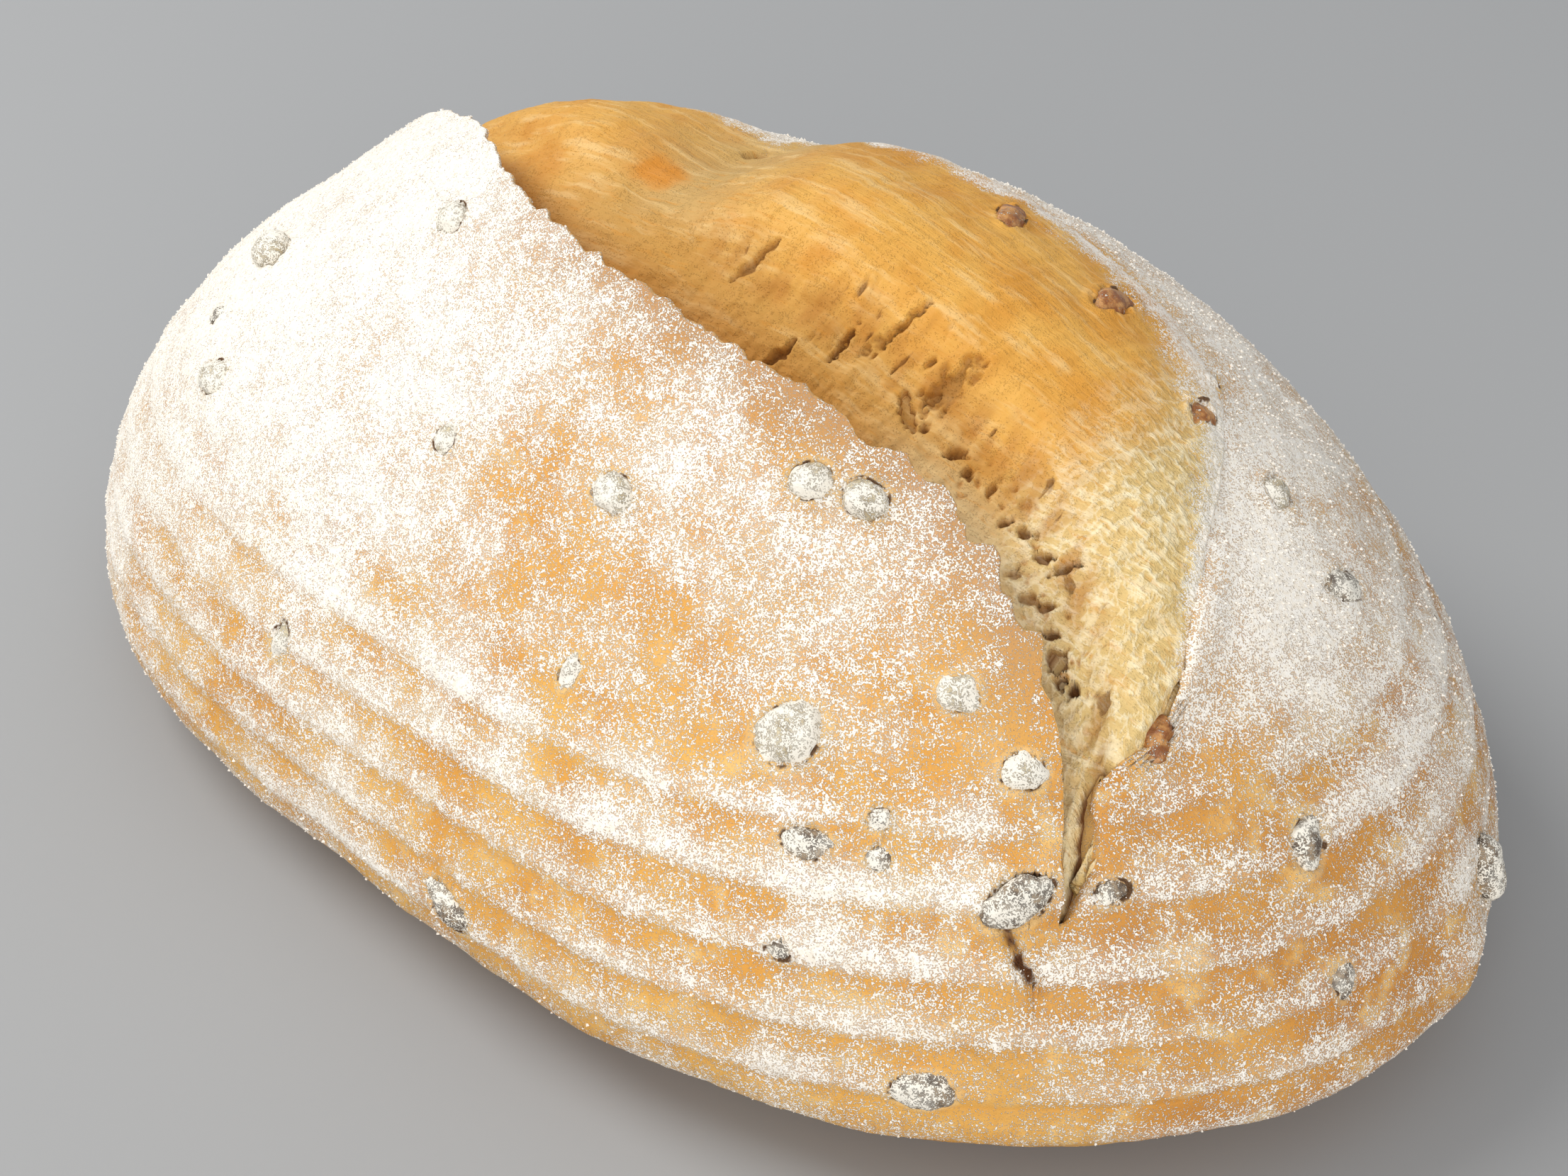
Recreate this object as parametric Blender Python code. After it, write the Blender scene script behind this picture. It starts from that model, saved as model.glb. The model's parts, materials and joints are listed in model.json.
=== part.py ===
"""Olive sourdough loaf: a long oval hearth loaf, proofed in a cane basket and dusted with flour.

The loaf is one solid. Its long axis runs along X, with the near end at +X. One slash runs along
the top: on its -Y side the crust stands up as a thin ear, on its +Y side the crumb has burst up
as a smooth bloom in two lobes. Chopped olives sit in sockets all over the crust.
"""
import math
import random

import bmesh
import bpy
import numpy as np
from mathutils import Matrix, Vector

# Driving sizes of the loaf, in metres
HALF_LENGTH = 0.120
HALF_WIDTH = 0.0773
CROWN_HEIGHT = 0.0995
WAIST_HEIGHT = 0.0159
FLAT_SHARE = 0.634

# Roundness of the plan and of the crown, as superellipse powers
PLAN_POWER = 2.02
CROWN_POWER = 1.77

# Unevenness of a hand-shaped loaf: lobes of the plan, and lean of the crown along X and Y
LOBE_EGG = 0.040
LOBE_SIDE = -0.016
LOBE_SKEW = 0.051
LOBE_THREE = (-0.041, -0.037)
FULL_SIDE = {"bearing": 127.0, "reach": 30.0, "rise": 0.09}
CROWN_LEAN = (-0.087, 0.065)

# The slash: its reach along X, the free edge of the ear, and the crust edge across the bloom
SCORE_REACH = (-0.094, 0.0890)
SCORE_FADE = (0.016, 0.006)
EAR_LINE = (
    (-0.095, 0.010), (-0.075, 0.004), (-0.050, -0.007), (-0.025, -0.0203), (0.000, -0.0247),
    (0.025, -0.0262), (0.050, -0.0257), (0.066, -0.0292), (0.076, -0.0335), (0.083, -0.0410),
    (0.088, -0.0485),
)
CRUST_LINE = (
    (-0.095, 0.0170), (-0.070, 0.0250), (-0.040, 0.0275), (0.003, 0.0305), (0.040, 0.0325),
    (0.055, 0.0280), (0.066, 0.0182), (0.0725, 0.0072), (0.0770, -0.0028), (0.0825, -0.0120),
    (0.0855, -0.0203), (0.0870, -0.0315), (0.0895, -0.0425),
)
EAR_LIFT = ((-0.095, 0.0005), (-0.070, 0.0032), (-0.050, 0.0042), (0.045, 0.0050), (0.070, 0.0040),
            (0.082, 0.0012), (0.089, 0.0000))
BED_DEPTH = ((-0.095, 0.0020), (-0.060, 0.0045), (-0.030, 0.0070), (0.000, 0.0095),
             (0.050, 0.0090), (0.070, 0.0060), (0.086, 0.0035))
LIP_RISE = ((-0.095, 0.0), (0.050, 0.0002), (0.068, 0.0014), (0.084, 0.0018), (0.0895, 0.0008))
FLAP_WIDTH = 0.028
EAR_THICKNESS = 0.0022
EAR_CURL = 1.9
EAR_TUCK = 0.0085
EAR_TUCK_MOST = 0.55
EAR_UNDERCUT = 0.0003
EAR_UNDER_CURVE = 1.3
HINGE_LEAST = 0.12
CROWN_EDGE = 0.97
LIP_WIDTH = 0.0012
LIP_FADE = 0.008

# The bloom, as shares of the way from the ear's edge to the crust edge across it
TERRACE_SHARE = 0.20
STEP_SHARE = 0.31
TERRACE_CLIMB = 0.22
SKIN_TOP = {"middle": 0.62, "half": 0.42}
SLOW_FILL = 0.45
RIM_SINK = {"from": 0.85, "depth": 0.0008}
MAIN_LOBE = {"middle": 0.030, "reach": 0.055, "rise": 0.0018}
FAR_LOBE = {"middle": -0.050, "reach": 0.020, "rise": 0.0010}
SADDLE = {"middle": -0.017, "reach": 0.014, "fall": 0.0072}
SADDLE_RIM = 0.5
SADDLE_BEHIND = 0.03
STEP_SOFTNESS = 0.1

# The baked knob of dough at the foot of the near end
KNOB = {"bearing": 2.5, "climb": 2.0, "reach": 0.0075, "rise": 0.0022}

# The middle of the finished loaf's box in plan, which becomes the origin
BOX_MIDDLE = (-0.0006, 0.0024)

# Mesh density: points in each stretch of a cross section, and number of sections
FLANK_STEPS = 11
FLAP_STEPS = 5
TUCK_STEPS = 3
TERRACE_STEPS = 3
STEP_STEPS = 2
BLOOM_STEPS = 7
BASE_STEPS = 10
SECTIONS = 47
TERRACE_START = 0.75
SECTION_GAP = 0.0068
SECTION_GAP_NEAR = 0.0028
SCORE_END_ZONE = ((0.060, 0.076), (0.092, 0.102))
TIP_GAP = 0.0012
TIP_GAP_GROWTH = 0.40
SHARP_CREASE = 50

# How finely the form is worked out: points round the plan, trial places along X, halvings in the
# search for a place on the crust, the step that its slope is taken over, and least half width
OUTLINE_POINTS = 1441
TRIAL_PLACES = 4001
SEARCH_HALVINGS = 40
SLOPE_STEP = 0.0002
LEAST_HALF_WIDTH = 1e-6

# Olives: the gap round each piece, and how rough a chopped piece is
SOCKET_GAP = 0.0003
OLIVE_ROUGHNESS = 0.11
OLIVE_WAVES = 4
OLIVE_WAVE_PITCH = 2.2
OLIVE_THICKNESS = 0.82
OLIVE_FINENESS = 2

# Chopped olive pieces where they show: bearing and climb in degrees from the middle of the loaf
# at waist height, length and width, turn from level in degrees, how far it stands proud, finish
OLIVES_SHOWN = (
    (-159.5, 35.5, 0.0078, 0.0060, 10, 0.0028, "floured"),
    (-155.0, 29.0, 0.0050, 0.0040, 60, 0.0006, "dark"),
    (-146.5, 28.5, 0.0072, 0.0062, 20, 0.0018, "floured"),
    (-147.0, 59.0, 0.0068, 0.0055, 15, 0.0016, "floured"),
    (-110.5, 48.5, 0.0052, 0.0042, 80, 0.0010, "floured"),
    (-75.5, 52.0, 0.0072, 0.0056, 0, 0.0016, "floured"),
    (-42.6, 53.1, 0.0062, 0.0052, 20, 0.0019, "floured"),
    (-35.6, 50.4, 0.0068, 0.0054, -25, 0.0017, "floured"),
    (-74.5, 33.5, 0.0062, 0.0036, 80, 0.0005, "floured"),
    (-47.5, 31.0, 0.0105, 0.0088, 35, 0.0021, "floured"),
    (-31.0, 33.0, 0.0066, 0.0058, 10, 0.0010, "floured"),
    (-27.5, 26.5, 0.0068, 0.0058, 0, 0.0011, "floured"),
    (-46.5, 22.0, 0.0076, 0.0044, 0, 0.0010, "dark"),
    (-40.0, 24.0, 0.0044, 0.0034, 20, 0.0006, "dark"),
    (-40.5, 21.0, 0.0044, 0.0034, -10, 0.0006, "dark"),
    (-30.5, 17.5, 0.0106, 0.0058, 30, 0.0024, "dark"),
    (-49.0, 13.0, 0.0054, 0.0036, -15, 0.0005, "dark"),
    (-38.5, 3.0, 0.0090, 0.0056, 5, 0.0018, "dark"),
    (-85.5, 3.0, 0.0096, 0.0052, -25, 0.0018, "dark"),
    (-117.5, 18.5, 0.0082, 0.0042, 75, 0.0006, "floured"),
    (-8.5, 16.0, 0.0084, 0.0058, 65, 0.0014, "dark"),
    (-9.5, 7.0, 0.0062, 0.0042, 75, 0.0008, "dark"),
    (8.0, 5.0, 0.0094, 0.0060, 80, 0.0030, "dark"),
    (10.5, 27.0, 0.0090, 0.0062, -35, 0.0012, "dark"),
    (13.5, 35.0, 0.0066, 0.0056, 0, 0.0010, "floured"),
    (14.5, 44.0, 0.0072, 0.0056, -60, 0.0008, "amber"),
    (22.5, 44.0, 0.0078, 0.0044, -35, 0.0008, "amber"),
    (25.0, 55.0, 0.0092, 0.0056, -35, 0.0011, "amber"),
    (46.5, 59.0, 0.0044, 0.0032, -20, 0.0006, "amber"),
    (40.0, 66.0, 0.0090, 0.0048, -20, 0.0012, "amber"),
    (-16.0, 26.0, 0.0070, 0.0040, 60, 0.0012, "amber"),
    (-23.7, 17.2, 0.0056, 0.0040, 20, 0.0008, "dark"),
)

# More pieces on the right flank and far end, which are finished like what shows
OLIVES_HIDDEN = 9
HIDDEN_BEARINGS = (38.0, 180.0)
HIDDEN_CLIMBS = (6.0, 42.0)
HIDDEN_SEED = 41
HIDDEN_SHIFT = 4.0
HIDDEN_SPREAD = 0.618
HIDDEN_LENGTHS = (0.006, 0.010)
HIDDEN_WIDTH_SHARES = (0.6, 0.8)
HIDDEN_TURNS = (-40, 60)
HIDDEN_PROUD = (0.0008, 0.0018)

COLOURS = {
    "crust": ((0.78, 0.55, 0.32), 0.85),
    "floured": ((0.80, 0.76, 0.66), 0.90),
    "dark": ((0.16, 0.13, 0.13), 0.45),
    "amber": ((0.42, 0.18, 0.05), 0.40),
}


def line_at(line, x):
    """Smooth curve through a line's points: its value at x, held beyond the ends."""
    places, values = np.array(line).T
    x = np.clip(np.asarray(x, float), places[0], places[-1])
    i = np.clip(np.searchsorted(places, x, side="right") - 1, 0, len(places) - 2)
    slopes = np.gradient(values, places)
    gap = places[i + 1] - places[i]
    t = (x - places[i]) / gap
    start = (1 + 2 * t) * (1 - t) ** 2 * values[i] + t * (1 - t) ** 2 * gap * slopes[i]
    end = t * t * (3 - 2 * t) * values[i + 1] + t * t * (t - 1) * gap * slopes[i + 1]
    return start + end


def ease(low, high, value):
    """Soft step from 0 at low to 1 at high."""
    t = np.clip((np.asarray(value, float) - low) / (high - low), 0.0, 1.0)
    return t * t * (3 - 2 * t)


def hump(lobe, x):
    """Bell that is 1 at the middle of a lobe and falls away over its reach."""
    return np.exp(-(((np.asarray(x, float) - lobe["middle"]) / lobe["reach"]) ** 2))


def plan_radius(angle):
    """Distance from the loaf's middle to its plan outline, at a bearing in radians."""
    c, s = np.cos(angle), np.sin(angle)
    side = s * HALF_LENGTH / HALF_WIDTH
    oval = (np.abs(c) ** PLAN_POWER + np.abs(side) ** PLAN_POWER) ** (-1 / PLAN_POWER)
    lobes = 1 + LOBE_EGG * c + LOBE_SIDE * s + LOBE_SKEW * np.sin(2 * angle)
    lobes = lobes + LOBE_THREE[0] * np.cos(3 * angle) + LOBE_THREE[1] * np.sin(3 * angle)
    off = (np.degrees(angle) - FULL_SIDE["bearing"] + 180.0) % 360.0 - 180.0
    lobes = lobes * (1 + FULL_SIDE["rise"] * np.exp(-((off / FULL_SIDE["reach"]) ** 2)))
    return HALF_LENGTH * oval * lobes


def plan_outline():
    """Left and right halves of the plan outline, each from the far tip to the near tip."""
    angles = np.linspace(-math.pi, math.pi, OUTLINE_POINTS)
    outline = np.stack([plan_radius(angles) * np.cos(angles), plan_radius(angles) * np.sin(angles)], 1)
    near = outline[np.argmax(outline[:, 0])]
    far = outline[np.argmin(outline[:, 0])]
    tip_side = np.interp(outline[:, 0], [far[0], near[0]], [far[1], near[1]])
    left = outline[outline[:, 1] < tip_side]
    right = outline[outline[:, 1] > tip_side]
    left = np.vstack([far, left[np.argsort(left[:, 0])], near])
    right = np.vstack([far, right[np.argsort(right[:, 0])], near])
    return left, right


LEFT_OUTLINE, RIGHT_OUTLINE = plan_outline()


def plan_edges(x):
    """The left and right edge of the plan at x."""
    left = np.interp(x, LEFT_OUTLINE[:, 0], LEFT_OUTLINE[:, 1])
    right = np.interp(x, RIGHT_OUTLINE[:, 0], RIGHT_OUTLINE[:, 1])
    return left, right


def plan_share(x, y):
    """0 at the middle of the plan, 1 on its outline."""
    return np.hypot(x, y) / plan_radius(np.arctan2(y, x))


def crown_lean(x, y):
    return 1 + CROWN_LEAN[0] * x / HALF_LENGTH + CROWN_LEAN[1] * y / HALF_WIDTH


def crown_height(x, y):
    """Height of the unslashed crown over a place in the plan."""
    share = np.clip(plan_share(x, y), 0.0, 1.0)
    rise = (1 - share ** CROWN_POWER) ** (1 / CROWN_POWER)
    return WAIST_HEIGHT + (CROWN_HEIGHT - WAIST_HEIGHT) * crown_lean(x, y) * rise


def base_height(x, y):
    """Height of the underside: flat on the hearth, rolled up to the waist at the rim."""
    share = np.clip((plan_share(x, y) - FLAT_SHARE) / (1 - FLAT_SHARE), 0.0, 1.0)
    return WAIST_HEIGHT * (1 - np.sqrt(1 - share ** 2))


def crown_normal(x, y, z):
    """Outward direction of the unslashed crown."""
    def level(px, py, pz):
        tall = (CROWN_HEIGHT - WAIST_HEIGHT) * crown_lean(px, py)
        high = np.clip(pz - WAIST_HEIGHT, 0.0, None) / tall
        return plan_share(px, py) ** CROWN_POWER + high ** CROWN_POWER

    step = SLOPE_STEP
    slope = np.stack([
        level(x + step, y, z) - level(x - step, y, z),
        level(x, y + step, z) - level(x, y - step, z),
        level(x, y, z + step) - level(x, y, z - step),
    ], -1)
    return slope / np.linalg.norm(slope, axis=-1, keepdims=True)


def score_opening(x):
    """0 where the crust is whole, 1 where the slash is fully open."""
    opening = ease(SCORE_REACH[0], SCORE_REACH[0] + SCORE_FADE[0], x)
    return opening * (1 - ease(SCORE_REACH[1] - SCORE_FADE[1], SCORE_REACH[1], x))


def ear_rise(x, y):
    """How far the ear stands above the crown, from its hinge to its free edge."""
    edge = line_at(EAR_LINE, x)
    share = np.clip((y - edge + FLAP_WIDTH) / FLAP_WIDTH, 0.0, 1.0)
    return line_at(EAR_LIFT, x) * share ** EAR_CURL


def bloom_rise(x, y):
    """How far the burst crumb stands above (or below) the crown."""
    edge = line_at(EAR_LINE, x)
    rim = line_at(CRUST_LINE, x)
    share = (y - edge) / (rim - edge)
    bed = line_at(BED_DEPTH, x)
    terrace = -bed * (1 - TERRACE_CLIMB * ease(0.0, TERRACE_SHARE, share))
    lobes = MAIN_LOBE["rise"] * hump(MAIN_LOBE, x) + FAR_LOBE["rise"] * hump(FAR_LOBE, x)
    saddle = SADDLE["fall"] * hump(SADDLE, x) * (1 - SADDLE_RIM * ease(SKIN_TOP["middle"], 1.0, share))
    dome = np.clip(1 - ((share - SKIN_TOP["middle"]) / SKIN_TOP["half"]) ** 2, 0.0, 1.0)
    crest = lobes * dome - saddle - RIM_SINK["depth"] * ease(RIM_SINK["from"], 1.0, share)
    slow_fill = SLOW_FILL * ease(TERRACE_SHARE / 2, SKIN_TOP["middle"], share)
    fill = slow_fill + (1 - SLOW_FILL) * ease(TERRACE_SHARE, STEP_SHARE + STEP_SOFTNESS, share)
    return terrace * (1 - fill) + crest * fill


def lip_rise(x, y):
    """How far the crust edge across the bloom curls up, and the dip behind the saddle."""
    rim = line_at(CRUST_LINE, x)
    fade = 1 - ease(rim, rim + LIP_FADE, y)
    dip = SADDLE["fall"] * SADDLE_RIM * hump(SADDLE, x) * (1 - ease(rim, rim + SADDLE_BEHIND, y))
    return line_at(LIP_RISE, x) * fade - dip


def section_profile(x):
    """One cross section at x, as y and z of the crown, its rise, and the base below.

    Each point is a place across the crown, as an angle from the left edge to the right one, and
    a distance out of it. In the slash the path runs back under the ear before it crosses the bed.
    """
    left, right = plan_edges(x)
    middle, half = (left + right) / 2, max((right - left) / 2, LEAST_HALF_WIDTH)
    held = float(np.clip(x, *SCORE_REACH))
    held_left, held_right = plan_edges(held)

    def angle_of(y):
        across = ((held_left + held_right) / 2 - y) / ((held_right - held_left) / 2)
        return np.arccos(np.clip(across, -CROWN_EDGE, CROWN_EDGE))

    edge = float(line_at(EAR_LINE, held))
    rim = float(line_at(CRUST_LINE, held))
    wide = rim - edge
    hinge = max(edge - FLAP_WIDTH, held_left + HINGE_LEAST * (edge - held_left))
    tuck = min(EAR_TUCK, EAR_TUCK_MOST * (edge - hinge))
    bed = float(line_at(BED_DEPTH, held))

    flank = np.linspace(0.0, 1.0, FLANK_STEPS + 1)[:-1] * angle_of(hinge)
    flap_y = np.linspace(hinge, edge, FLAP_STEPS + 1)
    tuck_share = np.linspace(0.0, 1.0, TUCK_STEPS + 1)
    tuck_y = edge - EAR_UNDERCUT - tuck * tuck_share
    terrace_y = np.linspace(edge - tuck * TERRACE_START, edge + TERRACE_SHARE * wide, TERRACE_STEPS)
    step_y = np.linspace(TERRACE_SHARE, STEP_SHARE, STEP_STEPS + 1)[1:] * wide + edge
    bloom_y = np.linspace(STEP_SHARE, 1.0, BLOOM_STEPS + 1)[1:] * wide + edge
    lip_y = rim + LIP_WIDTH

    flap_rise = ear_rise(held, flap_y)
    under = flap_rise[-1] - EAR_THICKNESS
    tuck_rise = under + (-bed - under) * tuck_share ** EAR_UNDER_CURVE
    crumb_y = np.concatenate([terrace_y, step_y, bloom_y])
    crumb_rise = bloom_rise(held, crumb_y)
    open_y = np.concatenate([flap_y, tuck_y, crumb_y, [lip_y]])
    open_rise = np.concatenate([flap_rise, tuck_rise, crumb_rise, [float(lip_rise(held, lip_y))]])
    open_angle = angle_of(open_y)
    shut_angle = np.linspace(open_angle[0], open_angle[-1], len(open_angle))

    opening = float(score_opening(x))
    cut_angle = shut_angle + (open_angle - shut_angle) * opening
    cut_rise = open_rise * opening
    far_flank = cut_angle[-1] + (math.pi - cut_angle[-1]) * np.linspace(0.0, 1.0, FLANK_STEPS + 1)[1:]
    angle = np.concatenate([flank, cut_angle, far_flank])
    y = middle - half * np.cos(angle)
    rise = np.concatenate([np.zeros(len(flank)), cut_rise, lip_rise(x, y[-len(far_flank):]) * opening])
    below = np.linspace(0.0, math.pi, BASE_STEPS + 1)[1:-1]
    return y, rise, middle + half * np.cos(below)


def section_points(x):
    """The closed ring of points of the section at x, from the left edge over the crown."""
    y, rise, base_y = section_profile(x)
    across = np.full(len(y), float(x))
    z = crown_height(across, y)
    points = np.stack([across, y, z], -1)
    points += crown_normal(across, y, z) * rise[:, None]
    base = np.stack([np.full(len(base_y), float(x)), base_y, base_height(x, base_y)], -1)
    return swell_knob(np.vstack([points, base]))


def section_places():
    """Places of the sections along X: close together at the tips and where the slash ends."""
    reach = (LEFT_OUTLINE[0, 0], LEFT_OUTLINE[-1, 0])
    x = np.linspace(reach[0], reach[1], TRIAL_PLACES)
    near_end = ease(*SCORE_END_ZONE[0], x) * (1 - ease(*SCORE_END_ZONE[1], x))
    spacing = SECTION_GAP - (SECTION_GAP - SECTION_GAP_NEAR) * near_end
    tip = np.minimum(x - reach[0], reach[1] - x)
    spacing = np.minimum(spacing, TIP_GAP + TIP_GAP_GROWTH * tip)
    count = np.concatenate([[0.0], np.cumsum(np.diff(x) / spacing[1:])])
    return np.interp(np.linspace(0.0, count[-1], SECTIONS + 2), count, x)


def swell_knob(points):
    """Push a small round knob of dough out of the foot of the near end."""
    centre = crust_place(KNOB["bearing"], KNOB["climb"])[0]
    away = np.linalg.norm(points - np.array(centre), axis=-1)
    push = KNOB["rise"] * np.exp(-((away / KNOB["reach"]) ** 2))
    bearing = math.radians(KNOB["bearing"])
    return points + push[:, None] * np.array([math.cos(bearing), math.sin(bearing), 0.0])


def crust_place(bearing, climb):
    """Point and outward direction of the surface, seen from the middle at waist height."""
    turn, rise = math.radians(bearing), math.tan(math.radians(climb))
    reach = float(plan_radius(turn))
    low, high = 0.0, 1.0
    for _ in range(SEARCH_HALVINGS):
        share = (low + high) / 2
        x, y = share * reach * math.cos(turn), share * reach * math.sin(turn)
        if float(crown_height(x, y)) - WAIST_HEIGHT > share * reach * rise:
            low = share
        else:
            high = share
    z = float(crown_height(x, y))
    normal = crown_normal(np.array(x), np.array(y), np.array(z))
    edge, rim = float(line_at(EAR_LINE, x)), float(line_at(CRUST_LINE, x))
    if y < edge:
        out = ear_rise(x, y)
    elif y < rim:
        out = bloom_rise(x, y)
    else:
        out = lip_rise(x, y)
    out = float(out) * float(score_opening(x))
    return Vector((x, y, z)) + Vector(normal) * out, Vector(normal)


def new_material(name):
    colour, roughness = COLOURS[name]
    material = bpy.data.materials.new(name)
    material.use_nodes = True
    shader = material.node_tree.nodes["Principled BSDF"]
    shader.inputs["Base Color"].default_value = (*colour, 1.0)
    shader.inputs["Roughness"].default_value = roughness
    shader.inputs["Metallic"].default_value = 0.0
    material.diffuse_color = (*colour, 1.0)
    return material


def new_object(name, mesh, collection, material):
    obj = bpy.data.objects.new(name, mesh)
    mesh.materials.append(material)
    collection.objects.link(obj)
    return obj


def loaf_mesh():
    """A sphere with its poles at the loaf's tips, each ring of it laid on a cross section."""
    places = section_places()
    rings = [section_points(x) for x in places[1:-1]]
    around = len(rings[0])
    bm = bmesh.new()
    bmesh.ops.create_uvsphere(bm, u_segments=around, v_segments=len(rings) + 1, radius=1.0)
    for vert in bm.verts:
        polar = math.acos(max(-1.0, min(1.0, vert.co.z)))
        ring = round(polar / math.pi * (len(rings) + 1))
        if ring == 0:
            tip = LEFT_OUTLINE[-1]
        elif ring == len(rings) + 1:
            tip = LEFT_OUTLINE[0]
        else:
            turn = math.atan2(vert.co.y, vert.co.x) / (2 * math.pi) * around
            vert.co = Vector(rings[len(rings) - ring][round(turn) % around])
            continue
        vert.co = Vector((tip[0], tip[1], WAIST_HEIGHT))
    bmesh.ops.recalc_face_normals(bm, faces=bm.faces)
    middle = Vector((*BOX_MIDDLE, 0.0))
    bmesh.ops.translate(bm, verts=bm.verts, vec=-middle)
    mesh = bpy.data.meshes.new("loaf")
    bm.to_mesh(mesh)
    bm.free()
    mesh.shade_smooth()
    mesh.set_sharp_from_angle(angle=math.radians(SHARP_CREASE))
    return mesh


def olive_mesh(name, piece, seed, gap):
    """A rough chopped piece of olive, lying in the crust; gap makes its socket's cutter."""
    bearing, climb, length, width, turn, proud, _ = piece
    rng = random.Random(seed)
    waves = []
    for _ in range(OLIVE_WAVES):
        way = Vector((rng.gauss(0, 1), rng.gauss(0, 1), rng.gauss(0, 1)))
        waves.append((way, rng.uniform(0, 2 * math.pi)))
    thick = OLIVE_THICKNESS * width
    place, out = crust_place(bearing, climb)
    level = Vector((0, 0, 1)).cross(out).normalized()
    upward = out.cross(level)
    frame = Matrix((level, upward, out)).transposed() @ Matrix.Rotation(math.radians(turn), 3, "Z")
    centre = place + out * (proud - thick / 2) - Vector((*BOX_MIDDLE, 0.0))
    bm = bmesh.new()
    bmesh.ops.create_icosphere(bm, subdivisions=OLIVE_FINENESS, radius=1.0)
    for vert in bm.verts:
        unit = vert.co.normalized()
        swells = [math.sin(OLIVE_WAVE_PITCH * unit.dot(way) + phase) for way, phase in waves]
        rough = sum(swells) / OLIVE_WAVES
        size = 1 + OLIVE_ROUGHNESS * rough
        local = Vector((unit.x * length, unit.y * width, unit.z * thick)) / 2 * size + unit * gap
        vert.co = centre + frame @ local
    mesh = bpy.data.meshes.new(name)
    bm.to_mesh(mesh)
    bm.free()
    mesh.shade_smooth()
    return mesh


def hidden_olives():
    """Pieces spread evenly, with a seeded shift, over the side that faces away."""
    rng = random.Random(HIDDEN_SEED)
    pieces = []
    for i in range(OLIVES_HIDDEN):
        share = (i + 0.5) / OLIVES_HIDDEN
        bearing = HIDDEN_BEARINGS[0] + share * (HIDDEN_BEARINGS[1] - HIDDEN_BEARINGS[0])
        bearing += rng.uniform(-HIDDEN_SHIFT, HIDDEN_SHIFT)
        climb = HIDDEN_CLIMBS[0] + (i * HIDDEN_SPREAD % 1.0) * (HIDDEN_CLIMBS[1] - HIDDEN_CLIMBS[0])
        length = rng.uniform(*HIDDEN_LENGTHS)
        width = length * rng.uniform(*HIDDEN_WIDTH_SHARES)
        turn, proud = rng.uniform(*HIDDEN_TURNS), rng.uniform(*HIDDEN_PROUD)
        kind = "dark" if i % 3 else "floured"
        pieces.append((bearing, climb, length, width, turn, proud, kind))
    return pieces


def build():
    for obj in list(bpy.data.objects):
        bpy.data.objects.remove(obj, do_unlink=True)
    parts = bpy.data.collections.new("olive_sourdough_loaf")
    cutters = bpy.data.collections.new("olive_sockets")
    bpy.context.scene.collection.children.link(parts)
    bpy.context.scene.collection.children.link(cutters)
    materials = {name: new_material(name) for name in COLOURS}

    loaf = new_object("loaf", loaf_mesh(), parts, materials["crust"])
    for number, piece in enumerate([*OLIVES_SHOWN, *hidden_olives()], start=1):
        name = f"olive_{number:02d}"
        new_object(name, olive_mesh(name, piece, number, 0.0), parts, materials[piece[-1]])
        cutter_name = f"socket_{number:02d}"
        cutter_mesh = olive_mesh(cutter_name, piece, number, SOCKET_GAP)
        cutter = new_object(cutter_name, cutter_mesh, cutters, materials["crust"])
        cutter.hide_render = True
        cutter.display_type = "WIRE"

    sockets = loaf.modifiers.new("sockets", "BOOLEAN")
    sockets.operation = "DIFFERENCE"
    sockets.solver = "EXACT"
    sockets.operand_type = "COLLECTION"
    sockets.collection = cutters


build()
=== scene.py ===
"""Olive sourdough loaf, dressed: floured crust with cane rings, torn ear, gold bloom, olives."""
import json
import math

import bpy
import numpy as np
from mathutils import Matrix, Vector, noise

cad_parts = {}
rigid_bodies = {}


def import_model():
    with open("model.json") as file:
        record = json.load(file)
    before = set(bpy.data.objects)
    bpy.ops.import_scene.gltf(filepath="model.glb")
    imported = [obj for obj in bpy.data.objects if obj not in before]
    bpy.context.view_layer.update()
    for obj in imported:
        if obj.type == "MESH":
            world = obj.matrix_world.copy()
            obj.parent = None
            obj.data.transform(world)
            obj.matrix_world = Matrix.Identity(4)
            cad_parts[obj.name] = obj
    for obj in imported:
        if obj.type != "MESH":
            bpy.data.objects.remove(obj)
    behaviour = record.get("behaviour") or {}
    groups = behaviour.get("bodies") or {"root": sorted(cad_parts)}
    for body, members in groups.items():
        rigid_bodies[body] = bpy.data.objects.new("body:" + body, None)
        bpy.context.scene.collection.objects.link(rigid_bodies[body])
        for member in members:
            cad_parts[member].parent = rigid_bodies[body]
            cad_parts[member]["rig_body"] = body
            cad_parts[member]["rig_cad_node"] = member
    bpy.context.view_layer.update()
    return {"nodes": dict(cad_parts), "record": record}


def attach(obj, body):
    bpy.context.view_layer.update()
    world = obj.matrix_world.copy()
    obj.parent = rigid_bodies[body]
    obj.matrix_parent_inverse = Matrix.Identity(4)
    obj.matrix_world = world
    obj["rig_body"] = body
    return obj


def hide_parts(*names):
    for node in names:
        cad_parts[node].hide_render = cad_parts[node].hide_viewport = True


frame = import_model()

# Camera, floor and light. The view is from in front of the near left, a little above the loaf,
# with a soft window-like light from the far left and a pale plain floor under the loaf.
VIEW_BEARING = 39.944
VIEW_CLIMB = 36.783
VIEW_DISTANCE = 0.436
VIEW_ROLL = -0.143
VIEW_AIM = Vector((0.00434, -0.00319, 0.03079))
LENS = 65.1
SENSOR_WIDTH = 36.0

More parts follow.
